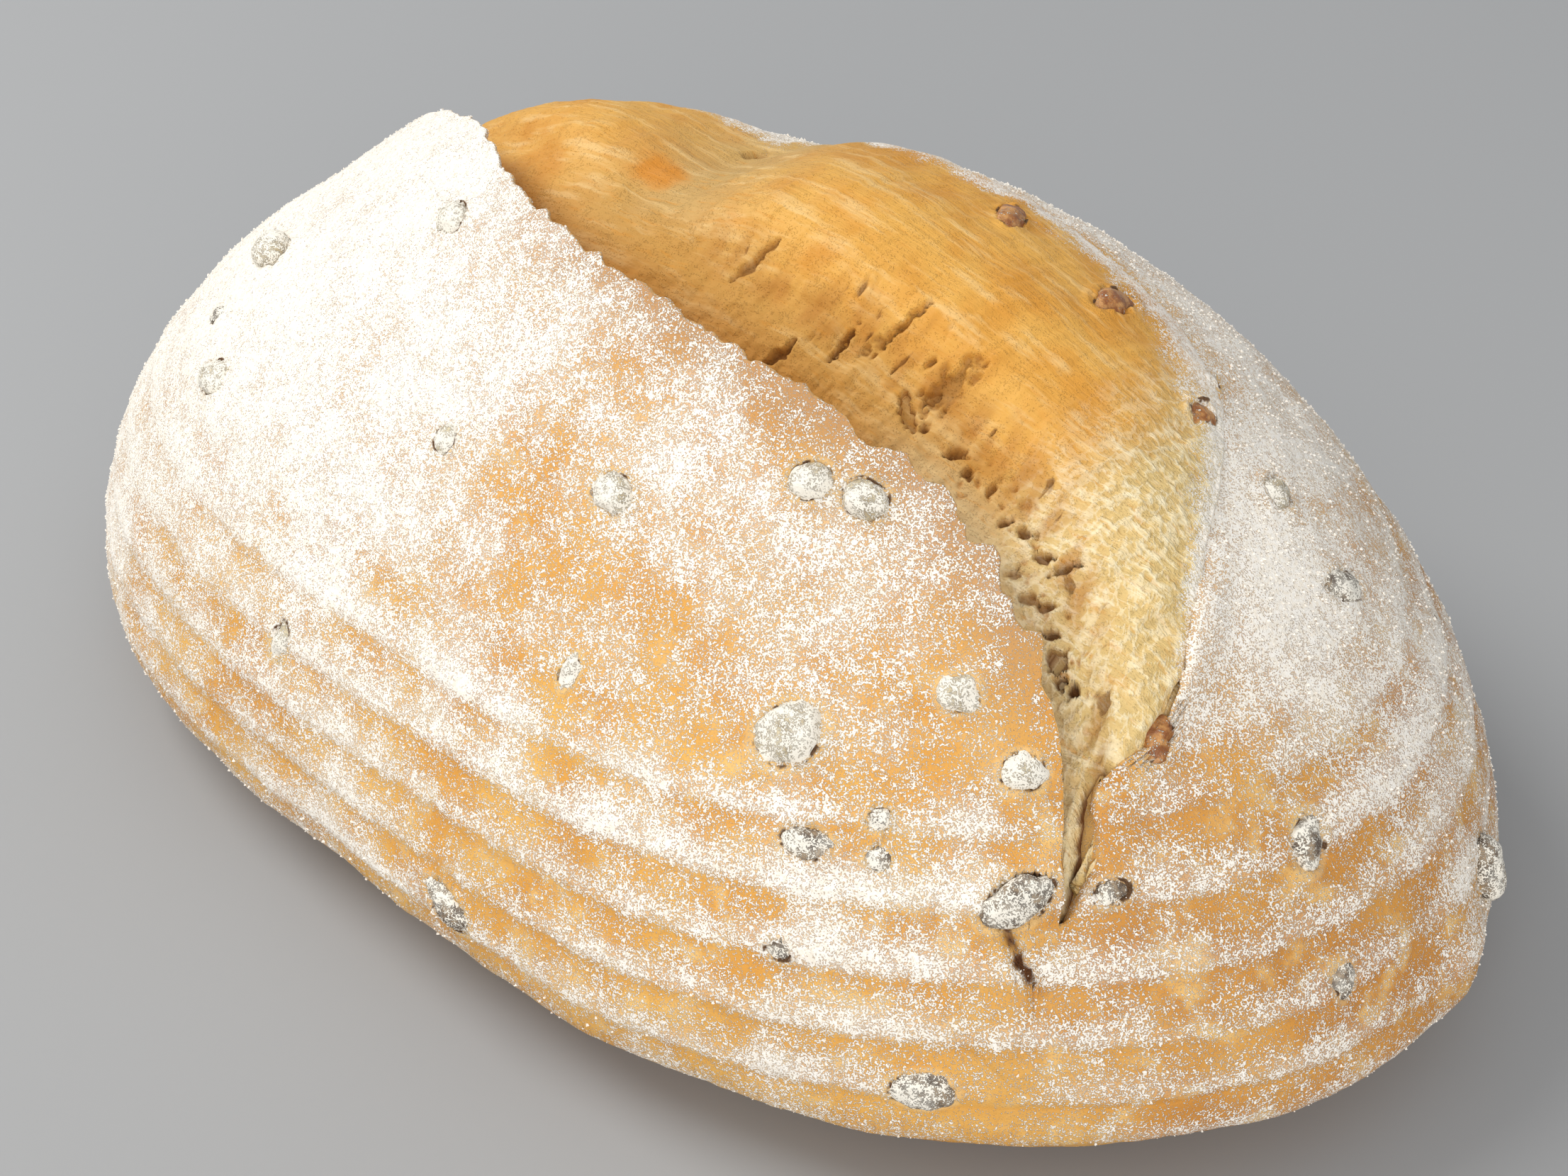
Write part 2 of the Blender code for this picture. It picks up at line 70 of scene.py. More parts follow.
FLOOR_SIZE = 6.0
FLOOR_COLOUR = (0.338, 0.341, 0.346)
KEY_FROM = Vector((-0.72, -0.26, 0.92))
KEY_SIZE = 0.75
KEY_POWER = 9.4
FILL_FROM = Vector((0.70, -0.85, 0.30))
FILL_SIZE = 1.3
FILL_POWER = 11.5
SKY_COLOUR = (0.94, 0.97, 1.0)
SKY_STRENGTH = 0.60


def add_light(name, place, size, power, colour):
    bpy.ops.object.light_add(type="AREA", location=place)
    light = bpy.context.object
    light.name = name
    light.data.shape = "DISK"
    light.data.size = size
    light.data.energy = power
    light.data.color = colour
    light.rotation_euler = (VIEW_AIM - place).to_track_quat("-Z", "Y").to_euler()


def add_camera():
    turn, climb = math.radians(VIEW_BEARING), math.radians(VIEW_CLIMB)
    right = Vector((math.cos(turn), math.sin(turn), 0.0))
    level = Vector((math.sin(turn), -math.cos(turn), 0.0))
    back = level * math.cos(climb) + Vector((0.0, 0.0, math.sin(climb)))
    axes = Matrix((right, back.cross(right), back)).transposed()
    axes = axes @ Matrix.Rotation(math.radians(VIEW_ROLL), 3, "Z")
    bpy.ops.object.camera_add(location=VIEW_AIM + back * VIEW_DISTANCE)
    camera = bpy.context.object
    camera.rotation_euler = axes.to_euler()
    camera.data.sensor_width = SENSOR_WIDTH
    camera.data.lens = LENS
    camera.data.clip_start = 0.01
    bpy.context.scene.camera = camera


def add_floor():
    bpy.ops.mesh.primitive_plane_add(size=FLOOR_SIZE, location=(0.0, 0.0, 0.0))
    floor = bpy.context.object
    floor.name = "floor"
    material = bpy.data.materials.new("pale_floor")
    material.use_nodes = True
    shader = material.node_tree.nodes["Principled BSDF"]
    shader.inputs["Base Color"].default_value = (*FLOOR_COLOUR, 1.0)
    shader.inputs["Roughness"].default_value = 0.8
    floor.data.materials.append(material)


add_camera()
add_floor()
add_light("key_light", KEY_FROM, KEY_SIZE, KEY_POWER, (1.0, 0.985, 0.96))
add_light("fill_light", FILL_FROM, FILL_SIZE, FILL_POWER, (1.0, 0.97, 0.93))
sky = bpy.data.worlds.new("soft_sky")
sky.use_nodes = True
sky.node_tree.nodes["Background"].inputs["Color"].default_value = (*SKY_COLOUR, 1.0)
sky.node_tree.nodes["Background"].inputs["Strength"].default_value = SKY_STRENGTH
bpy.context.scene.world = sky
bpy.context.scene.view_settings.view_transform = "Standard"


# The crust: one baked skin round the whole loaf. It rolls under at the foot, carries the level
# rings of the cane basket, and at the slash lifts into the ear, whose free edge is thin and torn.
HALF_LENGTH = 0.120
HALF_WIDTH = 0.0773
CROWN_HEIGHT = 0.0995
WAIST_HEIGHT = 0.0159
FLAT_SHARE = 0.634
PLAN_POWER = 2.02
CROWN_POWER = 1.77
OUTLINE_POINTS = 1441
SLOPE_STEP = 0.0002
LEAST_HALF_WIDTH = 1e-6
LOBE_EGG = 0.040
LOBE_SIDE = -0.016
LOBE_SKEW = 0.051
LOBE_THREE = (-0.041, -0.037)
FULL_SIDE = {"bearing": 127.0, "reach": 30.0, "rise": 0.09}
CROWN_LEAN = (-0.087, 0.065)
BOX_MIDDLE = np.array((-0.0006, 0.0024, 0.0))
MILLIMETRE = 0.001

SCORE_REACH = (-0.094, 0.0882)
SCORE_FADE = (0.016, 0.0016)
EAR_LINE = (
    (-0.095, 0.010), (-0.075, 0.004), (-0.050, -0.007), (-0.025, -0.0203), (0.000, -0.0247),
    (0.025, -0.0262), (0.050, -0.0257), (0.066, -0.0292), (0.076, -0.0335), (0.083, -0.0410),
    (0.088, -0.0485),
)
CRUST_LINE = (
    (-0.095, 0.0170), (-0.070, 0.0250), (-0.040, 0.0275), (0.003, 0.0305), (0.040, 0.0325),
    (0.055, 0.0280), (0.066, 0.0182), (0.0725, 0.0072), (0.0770, -0.0028), (0.0825, -0.0120),
    (0.0855, -0.0203), (0.0870, -0.0315), (0.0895, -0.0425),
)
EAR_LIFT = ((-0.095, 0.0005), (-0.070, 0.0032), (-0.050, 0.0042), (0.045, 0.0050), (0.070, 0.0040),
            (0.082, 0.0012), (0.089, 0.0000))
BED_DEPTH = ((-0.095, 0.0020), (-0.060, 0.0045), (-0.030, 0.0070), (0.000, 0.0095),
             (0.050, 0.0090), (0.070, 0.0060), (0.086, 0.0035))
LIP_RISE = ((-0.095, 0.0), (0.060, 0.0001), (0.077, 0.0003), (0.083, 0.0014), (0.0895, 0.0006))
FLAP_WIDTH = 0.028
CURVE_STEP = 0.0004
EAR_CURL = 1.9
EAR_TUCK = 0.0085
EAR_TUCK_MOST = 0.55
EAR_UNDER_CURVE = 1.25
EAR_EDGE = 0.0010
HINGE_LEAST = 0.12
CROWN_EDGE = 0.985
LIP_FADE = 0.006
LIP_SPAN = 0.010
TERRACE_SHARE = 0.20
TERRACE_CLIMB = 0.22
STEP_SHARE = 0.31
SKIN_TOP = {"middle": 0.62, "half": 0.42}
SLOW_FILL = 0.45
MAIN_LOBE = {"middle": 0.030, "reach": 0.055, "rise": 0.0018}
FAR_LOBE = {"middle": -0.050, "reach": 0.020, "rise": 0.0010}
SADDLE = {"middle": -0.017, "reach": 0.014, "fall": 0.0072}
SADDLE_RIM = 0.5
SADDLE_BEHIND = 0.03
RIM_SINK = 0.0008
RIM_SWELL = 0.0003
KNOB = {"bearing": 2.5, "climb": 2.0, "reach": 0.0075, "rise": 0.0022}

# The tab of crust that reaches over the slash's near end: its root, how far it shifts, its size
TAB_ROOT = (0.0872, -0.0330)
TAB_SHIFT = (-0.0040, -0.0016)
TAB_REACH = 0.0055

CRUST_RINGS = 332
RING_GAP = 0.0016
RING_GAP_FINE = 0.00056
RING_GAP_GROWTH = 0.00034
TIP_GAP = 0.0002
TIP_GAP_GROWTH = 0.25
TRIAL_PLACES = 8001
FLANK_STEPS = 76
FLAP_STEPS = 56
FLAP_CROWDING = 1.35
TIP_STEPS = 4
TUCK_STEPS = 12
TRENCH_STEPS = 10
WALL_STEPS = 3
LIP_STEPS = 16
LIP_CROWDING = 1.5
BASE_STEPS = 44
TRENCH_BELOW = 0.0030

RING_PITCH = 0.0082
RING_START = 0.0238
RING_DRIFT = 0.0035
RING_TOP = 0.064
RING_RELIEF = 0.00042


def line_at(line, x):
    """Smooth curve through a line's points: its value at x, held beyond the ends."""
    places, values = np.array(line).T
    x = np.clip(np.asarray(x, float), places[0], places[-1])
    i = np.clip(np.searchsorted(places, x, side="right") - 1, 0, len(places) - 2)
    slopes = np.gradient(values, places)
    gap = places[i + 1] - places[i]
    t = (x - places[i]) / gap
    start = (1 + 2 * t) * (1 - t) ** 2 * values[i] + t * (1 - t) ** 2 * gap * slopes[i]
    end = t * t * (3 - 2 * t) * values[i + 1] + t * t * (t - 1) * gap * slopes[i + 1]
    return start + end


def ease(low, high, value):
    """Soft step from 0 at low to 1 at high."""
    t = np.clip((np.asarray(value, float) - low) / (high - low), 0.0, 1.0)
    return t * t * (3 - 2 * t)


def bell(gap, reach):
    return np.exp(-((gap / reach) ** 2))


def hump(lobe, x):
    return bell(np.asarray(x, float) - lobe["middle"], lobe["reach"])


def grain(points, size, seed, octaves=2.0):
    """Uneven field over points, about -1 to 1, with features of a size in metres."""
    shift = Vector((17.3, 9.1, 4.7)) * seed
    scaled = np.asarray(points, float) / size
    return np.array([noise.fractal(Vector(p) + shift, 0.8, 2.1, octaves) for p in scaled])


def plan_radius(angle):
    c, s = np.cos(angle), np.sin(angle)
    side = s * HALF_LENGTH / HALF_WIDTH
    oval = (np.abs(c) ** PLAN_POWER + np.abs(side) ** PLAN_POWER) ** (-1 / PLAN_POWER)
    lobes = 1 + LOBE_EGG * c + LOBE_SIDE * s + LOBE_SKEW * np.sin(2 * angle)
    lobes = lobes + LOBE_THREE[0] * np.cos(3 * angle) + LOBE_THREE[1] * np.sin(3 * angle)
    off = (np.degrees(angle) - FULL_SIDE["bearing"] + 180.0) % 360.0 - 180.0
    lobes = lobes * (1 + FULL_SIDE["rise"] * bell(off, FULL_SIDE["reach"]))
    return HALF_LENGTH * oval * lobes


def plan_outline():
    """Left and right halves of the plan outline, each from the far tip to the near tip."""
    angles = np.linspace(-math.pi, math.pi, OUTLINE_POINTS)
    outline = plan_radius(angles)[:, None] * np.stack([np.cos(angles), np.sin(angles)], 1)
    near = outline[np.argmax(outline[:, 0])]
    far = outline[np.argmin(outline[:, 0])]
    tip_side = np.interp(outline[:, 0], [far[0], near[0]], [far[1], near[1]])
    halves = (outline[outline[:, 1] < tip_side], outline[outline[:, 1] > tip_side])
    return [np.vstack([far, half[np.argsort(half[:, 0])], near]) for half in halves]


LEFT_OUTLINE, RIGHT_OUTLINE = plan_outline()


def plan_edges(x):
    return [np.interp(x, half[:, 0], half[:, 1]) for half in (LEFT_OUTLINE, RIGHT_OUTLINE)]


def plan_share(x, y):
    return np.hypot(x, y) / plan_radius(np.arctan2(y, x))


def crown_lean(x, y):
    return 1 + CROWN_LEAN[0] * x / HALF_LENGTH + CROWN_LEAN[1] * y / HALF_WIDTH


def crown_height(x, y):
    share = np.clip(plan_share(x, y), 0.0, 1.0)
    rise = (1 - share ** CROWN_POWER) ** (1 / CROWN_POWER)
    return WAIST_HEIGHT + (CROWN_HEIGHT - WAIST_HEIGHT) * crown_lean(x, y) * rise


def base_height(x, y):
    share = np.clip((plan_share(x, y) - FLAT_SHARE) / (1 - FLAT_SHARE), 0.0, 1.0)
    return WAIST_HEIGHT * (1 - np.sqrt(1 - share ** 2))


def crown_normal(x, y, z):
    """Outward direction of the unslashed crown."""
    def level(px, py, pz):
        tall = (CROWN_HEIGHT - WAIST_HEIGHT) * crown_lean(px, py)
        high = np.clip(pz - WAIST_HEIGHT, 0.0, None) / tall
        return plan_share(px, py) ** CROWN_POWER + high ** CROWN_POWER

    step = SLOPE_STEP
    slope = np.stack([
        level(x + step, y, z) - level(x - step, y, z),
        level(x, y + step, z) - level(x, y - step, z),
        level(x, y, z + step) - level(x, y, z - step),
    ], -1)
    return slope / np.linalg.norm(slope, axis=-1, keepdims=True)


def raised(x, y, rise):
    """Points over places in the plan, a distance out of the crown."""
    x = np.broadcast_to(np.asarray(x, float), np.shape(y))
    z = crown_height(x, y)
    return np.stack([x, y, z], -1) + crown_normal(x, y, z) * np.asarray(rise)[..., None]


def score_opening(x):
    opening = ease(SCORE_REACH[0], SCORE_REACH[0] + SCORE_FADE[0], x)
    return opening * (1 - ease(SCORE_REACH[1] - SCORE_FADE[1], SCORE_REACH[1], x))


def ear_rise(x, y):
    edge = line_at(EAR_LINE, x)
    share = np.clip((y - edge + FLAP_WIDTH) / FLAP_WIDTH, 0.0, 1.0)
    return line_at(EAR_LIFT, x) * share ** EAR_CURL


def bloom_rise(x, y):
    """How far the burst crumb stands above (or below) the crown."""
    edge = line_at(EAR_LINE, x)
    rim = line_at(CRUST_LINE, x)
    share = (y - edge) / (rim - edge)
    bed = line_at(BED_DEPTH, x)
    terrace = -bed * (1 - TERRACE_CLIMB * ease(0.0, TERRACE_SHARE, share))
    lobes = MAIN_LOBE["rise"] * hump(MAIN_LOBE, x) + FAR_LOBE["rise"] * hump(FAR_LOBE, x)
    saddle = SADDLE["fall"] * hump(SADDLE, x)
    saddle = saddle * (1 - SADDLE_RIM * ease(SKIN_TOP["middle"], 1.0, share))
    dome = np.clip(1 - ((share - SKIN_TOP["middle"]) / SKIN_TOP["half"]) ** 2, 0.0, 1.0)
    sunk = RIM_SINK * ease(0.85, 1.0, share) * ease(0.079, 0.084, x)
    crest = lobes * dome - saddle + RIM_SWELL * ease(0.8, 0.95, share) - sunk
    fill = SLOW_FILL * ease(TERRACE_SHARE / 2, SKIN_TOP["middle"], share)
    fill = fill + (1 - SLOW_FILL) * ease(TERRACE_SHARE, STEP_SHARE + 0.1, share)
    return terrace * (1 - fill) + crest * fill


def saddle_behind(x, y):
    """The dip of the crust behind the saddle of the bloom."""
    rim = line_at(CRUST_LINE, x)
    return SADDLE["fall"] * SADDLE_RIM * hump(SADDLE, x) * (1 - ease(rim, rim + SADDLE_BEHIND, y))


def edge_curve(line, lift):
    """A line of the slash as points in space, close enough together to measure to."""
    x = np.arange(line[0][0], line[-1][0], CURVE_STEP)
    return raised(x, line_at(line, x), line_at(lift, x)) - BOX_MIDDLE


EAR_CURVE = edge_curve(EAR_LINE, EAR_LIFT)
CRUST_CURVE = edge_curve(CRUST_LINE, LIP_RISE)


def distance_to(curve, points):
    best = np.full(len(points), np.inf)
    for start in range(0, len(curve), 60):
        gaps = np.linalg.norm(points[:, None] - curve[None, start:start + 60], axis=-1).min(1)
        best = np.minimum(best, gaps)
    return best


# The ear's larger cusps and notches: place along X, how far out, half width
EAR_CUSPS = (
    (0.0505, 0.0009, 0.0020), (0.0560, -0.0016, 0.0010), (0.0598, 0.0014, 0.0012),
    (0.0635, -0.0008, 0.0020), (0.0690, 0.0023, 0.0017), (0.0720, -0.0006, 0.0012),
)


def torn_edge(x):
    """How far the ear's torn edge steps out and back along its length: cusps with fine teeth."""
    points = np.array([[x, 0.0, 0.0]])
    cusps = 0.42 - np.abs(grain(points, 0.0070, 3, 1.0)) * 2.0
    teeth = 0.20 - np.abs(grain(points, 0.0024, 5, 1.0))
    crumbs = grain(points, 0.0009, 6, 1.0) * 0.22
    sway = grain(points, 0.022, 8, 1.0) * 0.6
    strong = 0.0011 + 0.0009 * bell(x - 0.052, 0.012)
    strong = strong * ease(-0.093, -0.07, x) * (1 - 0.75 * ease(0.068, 0.080, x))
    own = sum(reach * bell(x - place, half) for place, reach, half in EAR_CUSPS)
    return (cusps + 0.6 * teeth + crumbs + sway) * strong + own


def torn_rim(x):
    """The same for the crust edge across the bloom, which is only torn at the near end."""
    points = np.array([[x, 0.0, 0.0]])
    tears = grain(points, 0.0040, 13, 2.0) + 0.3 * grain(points, 0.0011, 14, 1.0)
    return tears * 0.0009 * ease(0.055, 0.070, x) * (1 - ease(0.087, 0.089, x))


def crust_section(x):
    """One closed cross section of the crust, from the left of the foot over the top and back.

    Also how far each point is from whole crust (0) to the torn inner side of the ear and lip
    (1), and where it lies right of the slash (1).
    """
    left, right = plan_edges(x)
    middle, half = (left + right) / 2, max((right - left) / 2, LEAST_HALF_WIDTH)
    held = float(np.clip(x, *SCORE_REACH))
    held_left, held_right = plan_edges(held)

    def angle_of(y):
        across = ((held_left + held_right) / 2 - y) / ((held_right - held_left) / 2)
        return np.arccos(np.clip(across, -CROWN_EDGE, CROWN_EDGE))

    ear = float(line_at(EAR_LINE, held))
    edge = ear + float(torn_edge(held)[0])
    rim = float(line_at(CRUST_LINE, held)) + float(torn_rim(held)[0])
    hinge = max(ear - FLAP_WIDTH, held_left + HINGE_LEAST * (ear - held_left))
    tuck = min(EAR_TUCK, EAR_TUCK_MOST * (edge - hinge))

    flank = np.linspace(0.0, 1.0, FLANK_STEPS + 1)[:-1] * angle_of(hinge)
    flap_share = 1 - (1 - np.linspace(0.0, 1.0, FLAP_STEPS + 1)) ** FLAP_CROWDING
    flap_y = hinge + (edge - hinge) * flap_share
    flap_rise = ear_rise(held, flap_y)
    tip = np.linspace(0.0, math.pi, TIP_STEPS + 2)[1:-1]
    tip_y = edge + 0.0003 * np.sin(tip)
    tip_rise = flap_rise[-1] - EAR_EDGE * (1 - np.cos(tip)) / 2
    under_share = np.linspace(0.0, 1.0, TUCK_STEPS + 1)
    floor_y = np.linspace(edge - tuck, rim - 0.0002, TRENCH_STEPS + 1)
    floor_rise = bloom_rise(held, floor_y) - TRENCH_BELOW
    under_top = flap_rise[-1] - EAR_EDGE
    under_rise = under_top + (floor_rise[0] - under_top) * under_share ** EAR_UNDER_CURVE
    wall_rise = floor_rise[-1] * (1 - np.linspace(0.0, 1.0, WALL_STEPS + 1)[1:])
    lip_y = rim + LIP_SPAN * np.linspace(0.0, 1.0, LIP_STEPS) ** LIP_CROWDING
    open_y = np.concatenate([flap_y, tip_y, edge - tuck * under_share, floor_y[1:],
                             np.full(WALL_STEPS, rim - 0.0001), lip_y])
    open_rise = np.concatenate([flap_rise, tip_rise, under_rise, floor_rise[1:], wall_rise,
                                np.zeros(LIP_STEPS)])
    inner = np.concatenate([np.zeros(len(flap_y)), np.full(TIP_STEPS, 0.5), np.ones(TUCK_STEPS + 1),
                            np.ones(TRENCH_STEPS), np.ones(WALL_STEPS - 1), [0.25],
                            np.zeros(LIP_STEPS)])
    open_angle = angle_of(open_y)
    shut_angle = np.linspace(open_angle[0], open_angle[-1], len(open_angle))
    opening = float(score_opening(x))
    cut_angle = shut_angle + (open_angle - shut_angle) * opening
    far_flank = cut_angle[-1] + (math.pi - cut_angle[-1]) * np.linspace(0.0, 1.0, FLANK_STEPS + 1)[1:]
    angle = np.concatenate([flank, cut_angle, far_flank])
    y = middle - half * np.cos(angle)
    rise = np.concatenate([np.zeros(len(flank)), open_rise * opening, np.zeros(len(far_flank))])
    inner = np.concatenate([np.zeros(len(flank)), inner * opening, np.zeros(len(far_flank))])
    across = np.concatenate([np.zeros(len(flank) + FLAP_STEPS + 1 + TIP_STEPS + TUCK_STEPS + 1),
                             np.linspace(0.0, 1.0, TRENCH_STEPS), np.ones(WALL_STEPS + LIP_STEPS),
                             np.ones(len(far_flank))])
    tab = bell(np.hypot(x - TAB_ROOT[0], y - TAB_ROOT[1]), TAB_REACH) * across
    behind = saddle_behind(x, y) * (across >= 1) * (y > rim - 0.00015)
    tabbed_y = np.clip(y + tab * TAB_SHIFT[1], left, right)
    below = np.linspace(0.0, math.pi, BASE_STEPS + 1)[1:-1]
    base_y = middle + half * np.cos(below)
    base = np.stack([np.full(len(base_y), x), base_y, base_height(x, base_y)], -1)
    points = np.vstack([raised(x + tab * TAB_SHIFT[0], tabbed_y, rise - behind), base])
    right_side = np.concatenate([across * (inner < 0.5), np.zeros(len(base_y))])
    return points, np.concatenate([inner, np.zeros(len(base_y))]), right_side


def spread_places(trial, spacing, number):
    """A number of places along a line, as far apart as the spacing asks at each trial place."""
    count = np.concatenate([[0.0], np.cumsum(np.diff(trial) / spacing[1:])])
    return np.interp(np.linspace(0.0, count[-1], number), count, trial)


def ring_places():
    """Places of the crust's rings along X: fine where the ear's torn edge shows."""
    far, near = LEFT_OUTLINE[0, 0], LEFT_OUTLINE[-1, 0]
    x = np.linspace(far, near, TRIAL_PLACES)
    spacing = RING_GAP - (RING_GAP - RING_GAP_FINE) * ease(-0.060, -0.035, x)
    spacing = spacing + RING_GAP_GROWTH * ease(0.089, 0.100, x)
    spacing = np.minimum(spacing, TIP_GAP + TIP_GAP_GROWTH * np.minimum(x - far, near - x))
    return spread_places(x, spacing, CRUST_RINGS + 2)


# A place off to one side: a mesh sorted by its distance from here comes out in the same order
# every time, which keeps the loose flour in the same places
SORT_FROM = (3.1, 1.7, 2.3)


def sphere_of_rings(name, rings, near_tip, far_tip):
    """A sphere whose poles are the two tips and whose rings are laid on cross sections.

    Also gives a function that puts values listed by ring and place on the mesh's vertices.
    """
    around = len(rings[0])
    bpy.ops.mesh.primitive_uv_sphere_add(segments=around, ring_count=len(rings) + 1, radius=1.0,
                                         location=(0.0, 0.0, 0.0))
    piece = bpy.context.object
    piece.name = name
    piece.data.name = name
    bpy.context.scene.cursor.location = SORT_FROM
    bpy.ops.object.mode_set(mode="EDIT")
    bpy.ops.mesh.select_all(action="SELECT")
    bpy.ops.mesh.sort_elements(type="CURSOR_DISTANCE", elements={"VERT", "EDGE", "FACE"})
    bpy.ops.object.mode_set(mode="OBJECT")
    bpy.context.scene.cursor.location = (0.0, 0.0, 0.0)
    start = np.array([v.co for v in piece.data.vertices])
    polar = np.arccos(np.clip(start[:, 2], -1.0, 1.0))
    row = np.round(polar / math.pi * (len(rings) + 1)).astype(int)
    turn = np.arctan2(start[:, 1], start[:, 0]) / (2 * math.pi)
    column = -np.round(turn * around).astype(int) % around
    inside = (row > 0) & (row < len(rings) + 1)
    from_near = len(rings) - row[inside]

    def spread(values, at_near, at_far):
        values = np.array(values)
        laid = np.empty((len(start), *values.shape[2:]))
        laid[row == 0] = at_near
        laid[row == len(rings) + 1] = at_far
        laid[inside] = values[from_near, column[inside]]
        return laid

    return piece, spread(rings, near_tip, far_tip), spread


def set_points(piece, points):
    piece.data.vertices.foreach_set("co", np.asarray(points, float).ravel())
    piece.data.update()


def set_fields(piece, fields):
    """Stores numbers at each vertex, which the material reads by their names."""
    for name, values in fields.items():
        layer = piece.data.attributes.new(name, "FLOAT", "POINT")
        layer.data.foreach_set("value", np.asarray(values, float))


def vertex_normals(piece):
    normals = np.empty(len(piece.data.vertices) * 3)
    piece.data.vertices.foreach_get("normal", normals)
    return normals.reshape(-1, 3)


def olive_frames():
    """The middle, long-to-short axes and half sizes of each olive's solid."""
    found = {}
    for name, node in frame["nodes"].items():
        if not name.startswith("olive_"):
            continue
        points = np.array([v.co for v in node.data.vertices])
        middle = (points.max(0) + points.min(0)) / 2
        spread = np.linalg.svd(points - points.mean(0), full_matrices=False)[2]
        local = (points - middle) @ spread.T
        found[name] = {"middle": middle, "axes": spread, "half": np.abs(local).max(0)}
    return found


OLIVES = olive_frames()


def press_olives(points):
    """The dip that each olive sits in, with a raised collar, and how far off each olive is: 1 on
    its skin, 2 beyond."""
    sink = np.zeros(len(points))
    away = np.full(len(points), 2.0)
    for number, olive in enumerate(OLIVES.values()):
        reach = olive["half"].max() * 2.4
        close = np.where(np.linalg.norm(points - olive["middle"], axis=1) < reach)[0]
        if not len(close):
            continue
        local = (points[close] - olive["middle"]) @ olive["axes"].T
        share = np.linalg.norm(local / olive["half"], axis=1)
        share = share + 0.10 * grain(points[close], 0.0018, 31, 1.0)
        dip = 0.0014 * (1 - ease(0.72, 0.94, share))
        ragged = 0.00025 + 0.0007 * grain(points[close], 0.0016, 33, 2.0)
        collar = ragged * bell(share - 1.02, 0.20)
        collar = collar + 0.0003 * (number % 3 == 0) * bell(share - 1.30, 0.15)
        sink[close] += collar - dip
        away[close] = np.minimum(away[close], share)
    return sink, away


def ring_shape(points):
    """The basket's marks: 0 in each groove, rising at once to 1 on the ledge over it."""
    sway = 0.0009 * grain(points, 0.035, 2, 1.0) + 0.0003 * grain(points, 0.008, 4, 1.0)
    drift = RING_DRIFT * ease(0.02, 0.10, points[:, 0])
    phase = ((points[:, 2] + sway - drift - RING_START) / RING_PITCH) % 1.0
    mark = ease(0.0, 0.24, phase) * (1 - 0.85 * ease(0.26, 0.97, phase))
    fade = ease(0.006, 0.012, points[:, 2]) * (1 - ease(RING_TOP - 0.016, RING_TOP, points[:, 2]))
    return mark, fade


# The crack in the crust that runs on from the slash under the big olive, as points in turn
CRACK = np.array(((0.0815, -0.0500, 0.0432), (0.0829, -0.0506, 0.0412), (0.0839, -0.0504, 0.0400),
                  (0.0848, -0.0514, 0.0388), (0.0857, -0.0506, 0.0378), (0.0871, -0.0509, 0.0358)))
CRACK_WIDTH = 0.00085
CRACK_DEPTH = 0.0015
CRACK_POINTS = 40


def finer(points, steps):
    places = np.linspace(0, len(points) - 1, steps)
    return np.stack([np.interp(places, range(len(points)), points[:, k]) for k in range(3)], 1)


def shape_crust():
    places = ring_places()
    sections = [crust_section(x) for x in places[1:-1]]
    tips = [np.array([*LEFT_OUTLINE[end], WAIST_HEIGHT]) for end in (-1, 0)]
    piece, points, spread = sphere_of_rings("loaf_crust", [s[0] for s in sections], *tips)
    inner, right_side = (spread([s[k] for s in sections], 0.0, 0.0) for k in (1, 2))

    knob_turn = math.radians(KNOB["bearing"])
    outward = np.array([math.cos(knob_turn), math.sin(knob_turn), 0.0])
    rising = outward + (0.0, 0.0, math.tan(math.radians(KNOB["climb"])))
    knob_at = plan_radius(knob_turn) * 0.995 * rising + (0.0, 0.0, WAIST_HEIGHT)
    push = KNOB["rise"] * bell(np.linalg.norm(points - knob_at, axis=1), KNOB["reach"])
    points = points + push[:, None] * outward
    points -= BOX_MIDDLE
    set_points(piece, points)

    normals = vertex_normals(piece)
    lifted = ease(0.0004, 0.010, points[:, 2])
    mark, fade = ring_shape(points)
    from_rim = distance_to(CRUST_CURVE, points)
    lip = line_at(LIP_RISE, points[:, 0]) * (1 - ease(0.0, LIP_FADE, from_rim)) * right_side
    lumps = 0.0007 * grain(points, 0.024, 11, 2.0) + 0.00022 * grain(points, 0.0065, 12, 2.0)
    fine = 0.00007 * grain(points, 0.0022, 13, 2.0)
    relief = (lumps + fine + RING_RELIEF * (mark - 0.4) * fade) * lifted * (1 - inner) + lip
    sink, away = press_olives(points)
    from_crack = distance_to(finer(CRACK, CRACK_POINTS) - BOX_MIDDLE, points)
    from_crack = from_crack + 0.0005 * grain(points, 0.0014, 19, 2.0)
    cleft = CRACK_DEPTH * (1 - ease(CRACK_WIDTH * 0.4, CRACK_WIDTH * 1.7, from_crack))
    relief = relief + sink * (1 - inner) - cleft
    points = points + normals * relief[:, None]
    points[:, 2] = np.maximum(points[:, 2], 0.0)
    set_points(piece, points)
    return piece, points, inner, away, mark * fade, np.maximum(from_crack, 0.0)


